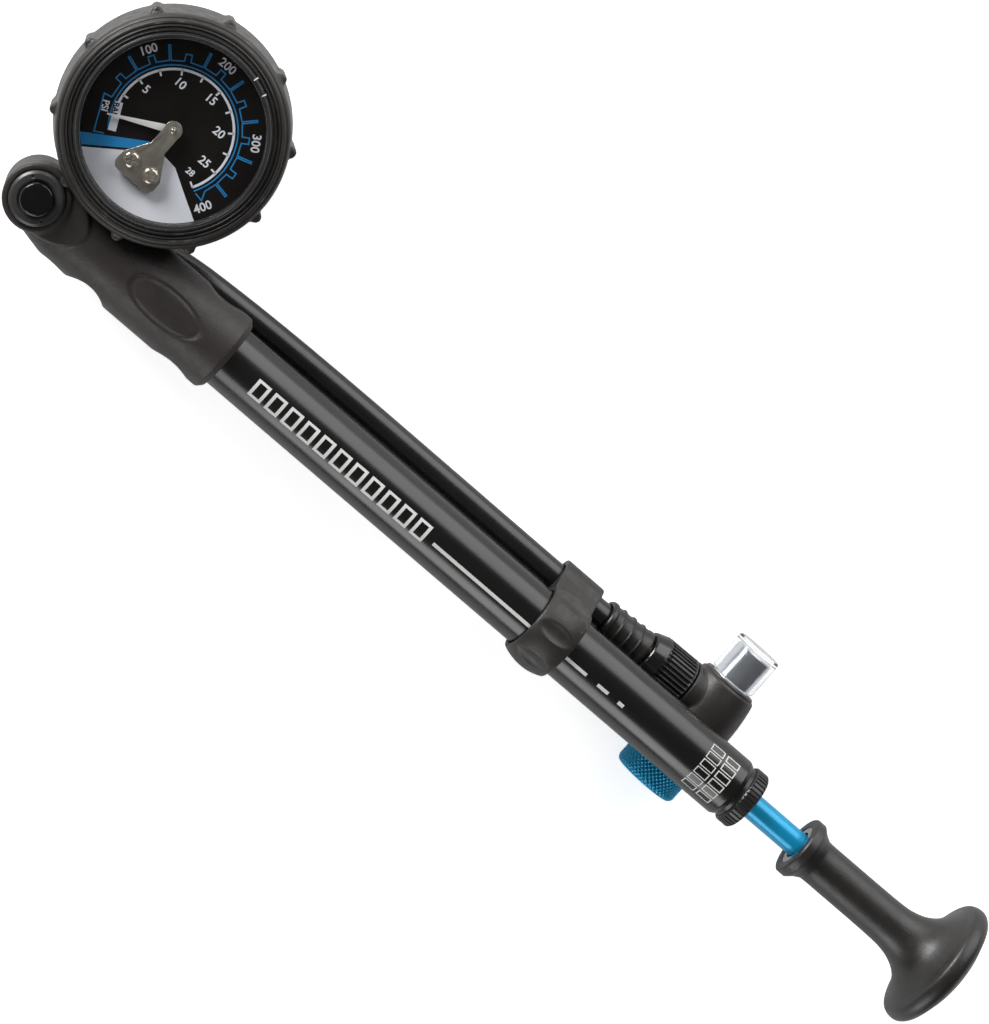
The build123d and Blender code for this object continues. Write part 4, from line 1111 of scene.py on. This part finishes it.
    def scales(self) -> None:
        """The white inner scale with its ticks, and the blue outer scale's stepped line."""
        start, end = self.bar_angle(0), self.bar_angle(self.bar_full)
        white = [ribbon(arc(self.white_radius, start, end), self.white_width)]
        for bar in (*np.arange(self.tick_step, self.bar_full - 1, self.tick_step), self.bar_full):
            angle = self.bar_angle(bar)
            tick = [self.at(angle, self.tick_foot), self.at(angle, self.tick_top)]
            white.append(ribbon(tick, self.tick_width))
        self.printed("dial_white_scale", white, DIAL_WHITE)
        blue = [ribbon(arc(self.blue_radius, start + 14, end), self.blue_width),
                ribbon(self.stepped_line(), self.stepped_width)]
        self.printed("dial_blue_scale", blue, PRINT_BLUE, 0.028)

    def stepped_line(self) -> list:
        """The outer scale's line: it runs at a low radius and steps out in turn to a middle one,
        in a broad tooth, and to a high one, in a narrow tooth.

        Returns:
            The line's points on the dial, in millimetres.
        """
        path = [self.at(224.0, self.blue_low), self.at(222.0, self.blue_mid + 0.6),
                self.at(193.0, self.blue_mid + 0.2), self.at(193.0, self.blue_low)]
        for number in range(6, -8, -1):
            centre = 90.0 + self.tooth_pitch * number
            half, top = (0.75, self.blue_tall) if number % 2 else (2.7, self.blue_mid)
            path += [self.at(centre + half, self.blue_low), self.at(centre + half * 0.86, top),
                     self.at(centre - half * 0.86, top), self.at(centre - half, self.blue_low)]
        return path + [self.at(-22.0, self.blue_low), self.at(-27.5, 18.6), self.at(-30.0, 16.4)]

    def numerals(self) -> None:
        """The scale's numbers: upright inside, and along the circle outside."""
        for bar, radius in ((5, 11.7), (10, 11.35), (15, 11.75), (20, 11.1), (25, 10.9)):
            self.write(f"numeral_{bar}", str(bar), *self.at(self.bar_angle(bar), radius), 0, 2.15)
        self.write("numeral_28", "28", *self.at(-27.6, 11.1), 0, 1.6)
        for psi, angle, turn in ((100, 148.0, 58), (200, 90.4, 0), (300, 31.5, -58), (400, -28.4, 61)):
            self.write(f"numeral_{psi}", str(psi), *self.at(angle, 20.25), turn, 2.2)
        self.write("unit_psi", "PSI", *self.at(201.5, 17.5), -62, 1.7)
        self.write("unit_bar", "BAR", *self.at(202.0, 14.9), -62, 1.45, DIAL_BLACK, 0.05)
        block = ribbon([self.at(193.8, 14.7), self.at(222.0, 14.9)], 2.0)
        self.printed("dial_unit_block", [block], DIAL_WHITE, 0.035)

    def write(self, name: str, text: str, x: float, y: float, turn: float, size: float,
              finish: Finish = DIAL_WHITE, lift: float = 0.0) -> None:
        """Puts a printed number on the dial as a thin mesh.

        Args:
            name: The piece's name.
            text: What it says.
            x, y: Its middle on the dial, in millimetres.
            turn: How far it is turned, in degrees.
            size: The height of its figures, in millimetres.
            finish: Its finish.
            lift: How much higher it lies than the other print, in millimetres.
        """
        curve = bpy.data.curves.new(name, "FONT")
        curve.body, curve.align_x, curve.align_y = text, "CENTER", "CENTER"
        curve.size, curve.extrude, curve.offset = size * 1.38 * MM, 0.02 * MM, 0.026 * size * MM
        curve.resolution_u = 4
        source = linked(name + "_source", curve)
        depsgraph = bpy.context.evaluated_depsgraph_get()
        mesh = bpy.data.meshes.new_from_object(source.evaluated_get(depsgraph))
        bpy.data.objects.remove(source)
        place = Matrix.Translation(Vector(on_dial(np.array([x, y, self.dial_top + 0.02 + lift]))))
        mesh.transform(place @ Matrix.Rotation(radians(turn), 4, "Z"))
        mesh.name = name
        dress(linked(name, mesh), Body.PUMP, finish, "dial_print")

    def pointer(self) -> None:
        """The tapered pointer at rest, with a hub."""
        height = foot_of("gauge_pointer")
        tip, turn = self.pointer_tip, radians(self.pointer_rest)
        shape = [(1.2, 1.0), (tip, 0.2), (tip, -0.2), (1.2, -1.0)]
        spun = [(x * cos(turn) - y * sin(turn), x * sin(turn) + y * cos(turn)) for x, y in shape]
        needle = slab("pointer_needle", [spun], on_dial, height, height + 0.4, 0.08)
        dress(needle, Body.POINTER, POINTER_WHITE, "pointer_white", "gauge_pointer")
        section = profile((height - 0.1, 0.72), (height - 0.1, 1.7), (height + 0.5, 1.7),
                          (height + 0.5, 0.72))
        hub = turned("pointer_hub", GAUGE, section, 64, ring=True)
        dress(hub, Body.POINTER, POINTER_WHITE, "pointer_white")
        top, foot = top_of("pointer_spindle"), foot_of("pointer_spindle")
        spindle = profile((foot, 0), (foot, 0.7), (top - 0.35, 0.7), (top - 0.05, 0.45),
                          (top, 0.2), (top, 0), ease=0.1)
        pin = turned("pointer_pin", GAUGE, spindle, 48)
        dress(pin, Body.POINTER, NICKEL, "steel", "pointer_spindle")

    def bridge(self) -> None:
        """The bent nickel bridge over the pointer, and its two cross-recessed screws."""
        plate = copied("gauge_bridge", "movement_bridge", 0.16)
        top = top_of("movement_bridge")

        def bent(points: np.ndarray) -> np.ndarray:
            """The plate's foot drops a little past the crease.

            Args:
                points: The plate's points, one row each.

            Returns:
                How far each point moves along +Z, in metres.
            """
            y = (points[:, 1] - GAUGE.origin[1]) / MM
            upper = points[:, 2] > ORIGIN[2] + (top - self.plate) * MM
            return -self.crease_drop * MM * step_up(-y, self.crease_start, self.crease_end) * upper

        pressed(plate, bent, Z)
        dress(plate, Body.PUMP, NICKEL, "nickel", "movement_bridge")
        low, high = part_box("movement_screws")
        screw_y = (low.y + high.y) / 2
        radius = (high.y - low.y) / 2 / MM
        crown = top_of("movement_screws")
        for number, x in enumerate((low.x + radius * MM, high.x - radius * MM)):
            spin = Spin(np.array([x, screw_y, ORIGIN[2]]), Z, X)
            side = [(crown - 8, 0), (crown - 8, 0.75), (crown - 1.5, 0.75), (crown - 1.5, radius)]
            dome = flowing([(crown - 0.75, radius), (crown - 0.3, radius * 0.86),
                            (crown - 0.06, radius * 0.5), (crown, 0.02)], 10)
            outline = profile(*side, *dome, (crown, 0), ease=0.05, step=0.09)

            def recess(s: np.ndarray, r: np.ndarray, a: np.ndarray, turn: float = 0.5 + number) -> tuple:
                """A cross: two bars that sink to 0.5 mm towards the middle.

                Args:
                    s: Stations, in metres.
                    r: Radii, in metres.
                    a: Angles, in radians.
                    turn: How far the cross is turned, in radians.

                Returns:
                    What to add to station and to radius.
                """
                u, v = np.abs(r * np.cos(a - turn)) / MM, np.abs(r * np.sin(a - turn)) / MM
                arm = np.maximum((1 - step_up(u, 0.2, 0.34)) * (1 - step_up(v, 1.15, 1.35)),
                                 (1 - step_up(v, 0.2, 0.34)) * (1 - step_up(u, 1.15, 1.35)))
                return -0.5 * MM * arm * (s > (crown - 0.9) * MM), 0 * s

            head = turned(f"bridge_screw_{number + 1}", spin, outline, 96, recess, sharp=50)
            stands_for = ["movement_screws"] if number == 0 else []
            dress(head, Body.PUMP, NICKEL, "nickel", *stands_for)


# ------------------------------------------------------------------ hose, clip and chuck


@dataclass
class Hose:
    """The pressure hose, its fittings, and the clip that holds it to the barrel."""

    diameter: float = 7.8 * MM
    length: float = 0.180
    route: tuple = (
        (-0.127769, 0.002362, -0.0157),
        (-0.103897, 0.007873, -0.0157),
        (-0.0772, 0.0098, -0.0126),
        (-0.045, 0.0104, -0.0113),
        (-0.014, 0.01043, -0.011),
        (0.010, 0.0104, -0.01102),
        (0.036146, 0.0104, -0.01102),
        (0.05141, 0.0104, -0.013712),
    )

    def build(self) -> None:
        """Makes the hose as one smooth cord, and the pieces on it."""
        self.cord()
        self.fittings()
        self.relief()
        self.nut()
        self.clip()

    def cord(self) -> None:
        """The hose: a smooth curve with the route's points as its control points."""
        curve = bpy.data.curves.new("hose_line", "CURVE")
        curve.dimensions = "3D"
        curve.bevel_depth, curve.bevel_resolution, curve.resolution_u = self.diameter / 2, 10, 24
        curve.use_fill_caps = True
        spline = curve.splines.new("NURBS")
        spline.points.add(len(self.route) - 1)
        for point, place in zip(spline.points, self.route):
            point.co = (*(ORIGIN + np.array(place)), 1)
        spline.order_u, spline.use_endpoint_u = 3, True
        piece = linked("hose_tube", curve)
        dress(piece, Body.PUMP, HOSE_BLACK, "hose_rubber", "hose")

    def fittings(self) -> None:
        """The banjo, its bolt and washers, and the crimped ferrule."""
        for node, finish, slot, edge in (
            ("hose_banjo", COLLAR_BLACK, "gauge_black", 0.25), ("banjo_bolt", STEEL, "steel", 0.15),
            ("hose_ferrule", STEEL, "steel", 0.12), ("banjo_seals", MACHINED, "polished_aluminium", 0.0),
        ):
            dress(copied(node + "_skin", node, edge), Body.PUMP, finish, slot, node)

    def relief(self) -> None:
        """The hose's bend relief: a tapered sleeve with thin raised rings."""
        wall = [(-38.4, 4.2), (-38.4, 4.9), (-38.0, 5.3), (-37.0, 5.35), (-36.6, 4.95)]
        rings, pitch, first = 3, 3.2, -34.6
        for n in range(rings):
            start, foot = first + pitch * n, 4.98 + 0.06 * n
            wall += [(start - 0.04, foot), (start + 0.06, foot + 0.42), (start + 0.34, foot + 0.44),
                     (start + 0.48, foot + 0.03)]
        wall += [(-26.0, 5.3), (-25.6, 5.5), (-24.7, 5.5), (-24.7, 4.2)]
        piece = turned("hose_relief", NECK, profile(*wall, ease=0.18), 160, ring=True, sharp=60)
        dress(piece, Body.PUMP, RELIEF_BLACK, "hose_rubber", "hose_boot")

    def nut(self) -> None:
        """The swivel nut: a smooth cone and a straight part with 36 narrow ribs."""
        ribs, shoulder, end, radius = 36, -20.2, -10.3, 7.3
        wall = profile((-24.0, 3.7), (-24.0, 5.8), (-23.6, 6.2), (shoulder, radius), (end - 0.3, radius),
                       (end, radius - 0.3), (end, 5.65), (-17.1, 5.65), (-17.1, 3.7), ease=0.2, step=0.2)

        def grooves(s: np.ndarray, r: np.ndarray, a: np.ndarray) -> tuple:
            """Grooves between narrow ribs, which run out on the cone.

            Args:
                s: Stations, in metres.
                r: Radii, in metres.
                a: Angles, in radians.

            Returns:
                What to add to station and to radius.
            """
            outer = step_up(r, (radius - 1.0) * MM, (radius - 0.8) * MM)
            begin = step_up(s, (shoulder - 0.3) * MM, (shoulder + 1.5) * MM)
            along = begin * (1 - step_up(s, (end - 0.9) * MM, (end - 0.45) * MM))
            hollow = 1 - np.clip(zigzag(ribs * a / (2 * pi)) * 2.4 - 1.1, 0, 1)
            return 0 * s, -0.42 * MM * outer * along * hollow

        piece = turned("swivel_nut_skin", NECK, wall, ribs * 14, grooves, ring=True, sharp=60)
        dress(piece, Body.PUMP, NUT_BLACK, "nut_black", "swivel_nut")

    def clip(self) -> None:
        """The rubber clip round the barrel and the hose."""
        clip = softened("hose_clip_skin", "hose_clip", 0.24, 6)
        dress(clip, Body.CLIP, BOOT_RUBBER, "grip_rubber", "hose_clip")


@dataclass
class Chuck:
    """The valve chuck: its housing, the bright collar under a clear cap, and the blue knob."""

    knurl_pitch: float = 1.35
    knurl_depth: float = 0.34
    knob_height: float = 11.8
    cap_bore: float = 5.5
    cap_end_wall: float = 1.4

    def build(self) -> None:
        """Makes every piece of the chuck."""
        self.housing_top = stations_of("collar_ring", 1)[1]
        self.housing()
        self.collar()
        self.cap()
        self.knob()

    def housing(self) -> None:
        """The moulded housing with its neck, and the ring at its mouth."""
        skin = softened("chuck_housing_skin", "chuck_housing", 0.26, 5)
        dress(skin, Body.CHUCK, HOUSING_BLACK, "housing_black", "chuck_housing")
        top = self.housing_top
        section = profile((top - 7.0, 6.1), (top - 7.0, 6.9), (top - 0.75, 6.9), (top - 0.75, 7.6),
                          (top - 0.3, 7.6), (top, 7.3), (top, 6.3), (top - 0.3, 6.1), ease=0.15)
        ring = turned("chuck_mouth_ring", CHUCK, section, 128, ring=True)
        dress(ring, Body.CHUCK, COLLAR_BLACK, "gauge_black", "collar_ring")

    def collar(self) -> None:
        """The turned collar that screws onto a valve, with a polished barrel."""
        start, end = stations_of("valve_collar", 1)
        top = self.housing_top
        shape = profile(
            (start, 2.2), (start, 6.6), (start + 2.5, 6.6), (start + 2.5, 5.75), (top + 0.15, 5.75),
            (top + 0.4, 5.4), (end - 0.5, 5.4), (end, 4.9), (end, 4.0), (end - 0.4, 3.6),
            (end - 7.0, 3.6), (end - 7.0, 4.1), (end - 9.5, 4.1), (end - 9.5, 2.2), ease=0.15)
        piece = turned("valve_collar_skin", CHUCK, shape, 160, ring=True)
        dress(piece, Body.COLLAR, POLISHED, "polished_aluminium", "valve_collar")

    def cap(self) -> None:
        """The clear push-on cap, thick at its closed end."""
        start, end = stations_of("dust_cap", 1)
        radius, bore, floor = radius_of("dust_cap"), self.cap_bore, end - self.cap_end_wall
        shape = profile((start, bore), (start, radius - 0.25), (start + 0.25, radius),
                        (end - 0.6, radius), (end, radius - 0.55), (end, 0), ease=0.2)
        inner = profile((floor, 0), (floor, bore), (start, bore), ease=0.3)
        piece = turned("dust_cap_skin", CHUCK, np.concatenate([inner, shape[1:]]), 160)
        dress(piece, Body.CAP, CLEAR_CAP, "clear_cap", "dust_cap")

    def knob(self) -> None:
        """The blue release knob with a diamond knurl: at each point the lower of two slanted
        triangle waves, so that small pyramids stand in crossing rows."""
        radius = radius_of("release_knob")
        start, hub = stations_of("release_knob", 1)
        face = start + self.knob_height
        shape = profile(
            (start, 0), (start, radius - 1.1), (start + 0.35, radius - 0.45), (start + 1.2, radius),
            (face - 0.8, radius), (face, radius - 0.8), (face, 4.0), (hub, 4.0), (hub, 0),
            ease=0.2, step=0.16)
        count = round(2 * pi * radius / self.knurl_pitch)

        def knurl(s: np.ndarray, r: np.ndarray, a: np.ndarray) -> tuple:
            """The crossing rows on the knob's side, fading at both edges.

            Args:
                s: Stations, in metres.
                r: Radii, in metres.
                a: Angles, in radians.

            Returns:
                What to add to station and to radius.
            """
            turn = count * a / (2 * pi)
            slide = s / (self.knurl_pitch * MM)
            height = np.minimum(zigzag(turn + slide), zigzag(turn - slide))
            side = step_up(r, (radius - 0.75) * MM, (radius - 0.35) * MM)
            begin = step_up(s, (start + 0.15) * MM, (start + 0.7) * MM)
            finish = 1 - step_up(s, (face - 0.7) * MM, (face - 0.2) * MM)
            fade = side * begin * finish
            return 0 * s, -self.knurl_depth * MM * fade * (1 - np.clip(height * 1.5, 0, 1))

        piece = turned("release_knob_skin", CHUCK, shape, count * 9, knurl, sharp=80)
        dress(piece, Body.KNOB, BLUE, "blue_anodised", "release_knob")


# ------------------------------------------------------------------ plunger


@dataclass
class Plunger:
    """The blue rod and the handle with its palm button."""

    rod_r: float = 3.4

    def build(self) -> None:
        """Makes the rod and the handle."""
        start, end = stations_of("piston_rod")
        outline = profile((start, 0), (start, self.rod_r), (end - 0.4, self.rod_r), (end, self.rod_r - 0.4),
                          (end, 1.5), (end - 8, 1.5), (end - 8, 0), ease=0.1)
        rod = turned("rod_skin", BARREL, outline, 96)
        dress(rod, Body.PLUNGER, BLUE, "blue_anodised", "piston_rod")
        self.handle(end)

    def handle(self, rod_end: float) -> None:
        """The handle: a collar, a waisted stem and a mushroom palm, with its screw's pocket.

        Args:
            rod_end: The station of the rod's end, in millimetres.
        """
        face, tail = stations_of("handle_grip")
        palm = radius_of("handle_grip", 2)
        crown = tail - 6.0
        neck = flowing([(face + 3.1, 7.95), (face + 4.1, 7.1), (face + 5.3, 6.4), (face + 7.0, 5.9),
                        (face + 14.0, 5.86), (face + 21.0, 5.86), (face + 30.0, 5.95),
                        (face + 34.6, 6.3), (face + 38.4, 7.4), (face + 41.5, 9.3),
                        (face + 43.6, 11.8), (face + 45.5, 15.4)])
        rim = flowing([(crown - 3.0, palm - 2.4), (crown - 2.3, palm - 0.85), (crown - 1.2, palm - 0.2),
                       (crown, palm), (crown + 1.2, palm - 0.25), (crown + 2.3, palm - 1.2),
                       (crown + 3.0, palm - 2.8)], 5)
        dome = flowing([(crown + 3.0, palm - 2.8), (crown + 4.2, palm - 5.5), (crown + 5.16, palm / 2),
                        (crown + 5.8, 5.0), (crown + 5.92, 3.35)], 6)
        seat = rod_end + 9.0
        bore = self.rod_r + 0.05
        shape = [(face + 3.0, bore), (face + 3.0, 5.65), (face, 5.65), (face, 7.95), (face + 0.4, 8.35),
                 (face + 2.6, 8.35), *neck[:-1], *rim[:-1], *dome, (seat, 3.3), (seat, 1.6),
                 (rod_end, 1.6), (rod_end, bore)]
        piece = turned("handle_skin", BARREL, profile(*shape, ease=0.1), 192, ring=True, sharp=50)
        dress(piece, Body.PLUNGER, HANDLE_BLACK, "handle_black", "handle_grip")


# ------------------------------------------------------------------ carried-over nodes and the studio


SLOT_FINISH = {
    "black_anodised": BARREL_BLACK, "grip_rubber": RUBBER, "hose_rubber": HOSE_BLACK, "seal_rubber": SEAL,
    "cast_aluminium": MACHINED, "blue_anodised": BLUE, "polished_aluminium": POLISHED, "steel": STEEL,
    "nickel": NICKEL, "magnet": STEEL, "brass": BRASS, "gauge_black": BEZEL_BLACK, "nut_black": NUT_BLACK,
    "boot_black": BOOT_RUBBER, "housing_black": HOUSING_BLACK, "handle_black": HANDLE_BLACK,
    "bush_plastic": BUSH, "clear_cap": CLEAR_CAP, "clear_lens": CLEAR_LENS, "dial_print": DIAL_BLACK,
    "pointer_white": POINTER_WHITE,
}


def carry_over() -> None:
    """Gives every CAD node the finish of its material slot."""
    slots = {part["node"]: part["material_slot"] for part in frame["record"]["subparts"]}
    for name, node in frame["nodes"].items():
        node.data.materials.clear()
        node.data.materials.append(SLOT_FINISH[slots[name]].build())


@dataclass
class Studio:
    """A pale floor, plain soft light and the camera."""

    distance: float = 1.150
    lens: float = 161.7
    lean_x: float = 9.6
    lean_y: float = 4.75
    roll: float = 40.75
    aim: tuple = (-0.00045, 0.0139, 0.0)
    floor_size: float = 8.0
    floor_lift: float = 0.62
    surround: float = 0.10

    def build(self) -> None:
        """Makes the floor, the lights, the world and the camera."""
        self.floor()
        self.world()
        self.lights()
        self.camera()

    def floor(self) -> None:
        """A level plane under the pump, which is white and keeps the shadow."""
        half, low = self.floor_size / 2, CAD_BOX[0][2] - 0.0002
        corners = [(-half, -half, low), (half, -half, low), (half, half, low), (-half, half, low)]
        piece = mesh_piece("floor", np.array(corners), [[0, 1, 2, 3]])
        made = bpy.data.materials.new("floor_white")
        made.use_nodes = True
        tree = made.node_tree
        path = add_node(tree, "ShaderNodeLightPath", {}).outputs
        rays = {0: path["Is Camera Ray"], 1: path["Is Transmission Ray"]}
        seen = add_node(tree, "ShaderNodeMath", rays, "MAXIMUM").outputs["Value"]
        lift = add_node(tree, "ShaderNodeMath", {0: seen, 1: self.floor_lift}, "MULTIPLY")
        fill(tree, tree.nodes["Principled BSDF"], {
            "Base Color": (0.93, 0.93, 0.93, 1), "Roughness": 0.9, "Specular IOR Level": 0.0,
            "Emission Color": (1, 1, 1, 1), "Emission Strength": lift.outputs["Value"],
        })
        piece.data.materials.append(made)

    def world(self) -> None:
        """A plain pale surround."""
        world = bpy.data.worlds.new("surround")
        world.use_nodes = True
        world.node_tree.nodes["Background"].inputs["Color"].default_value = (1, 1, 1, 1)
        world.node_tree.nodes["Background"].inputs["Strength"].default_value = self.surround
        bpy.context.scene.world = world

    def lights(self) -> None:
        """A broad key from past the gauge, a low one along the barrel and a weak fill opposite."""
        for name, place, size, power in (
            ("key", (-1.25, 0.4, 0.55), 0.6, 23.0),
            ("side", (0.1, 1.2, 0.45), 1.25, 15.0),
            ("fill", (0.2, -1.1, 0.6), 0.7, 6.5),
        ):
            lamp = bpy.data.lights.new(name, "AREA")
            lamp.shape, lamp.size, lamp.energy = "SQUARE", size, power
            piece = linked(name, lamp)
            piece.location = place
            gaze = Vector((0, 0, 0.03)) - Vector(place)
            piece.rotation_euler = gaze.to_track_quat("-Z", "Y").to_euler()

    def camera(self) -> None:
        """The camera, from over the dial, leaning towards the gauge's end, with the pump rolled
        across the frame."""
        target = Vector(ORIGIN + np.array(self.aim))
        towards = Vector((-tan(radians(self.lean_x)), tan(radians(self.lean_y)), 1)).normalized()
        flat = (Vector((1, 0, 0)) - towards * towards.x).normalized()
        right = Matrix.Rotation(radians(self.roll), 3, towards) @ flat
        up = towards.cross(right)
        data = bpy.data.cameras.new("camera")
        data.lens, data.sensor_width, data.clip_start, data.clip_end = self.lens, 36.0, 0.05, 30.0
        piece = linked("camera", data)
        turn = Matrix((right, up, towards)).transposed().to_4x4()
        piece.matrix_world = Matrix.Translation(target + towards * self.distance) @ turn
        bpy.context.scene.camera = piece


def main() -> None:
    logging.basicConfig(level=logging.WARNING)
    bpy.context.scene.view_settings.view_transform = "Standard"
    carry_over()
    for part in (Hose(), Barrel(), GripSleeve(), BleedValve(), Gauge(), Chuck(), Plunger()):
        part.build()
    Studio().build()


if __name__ == "__main__":
    main()
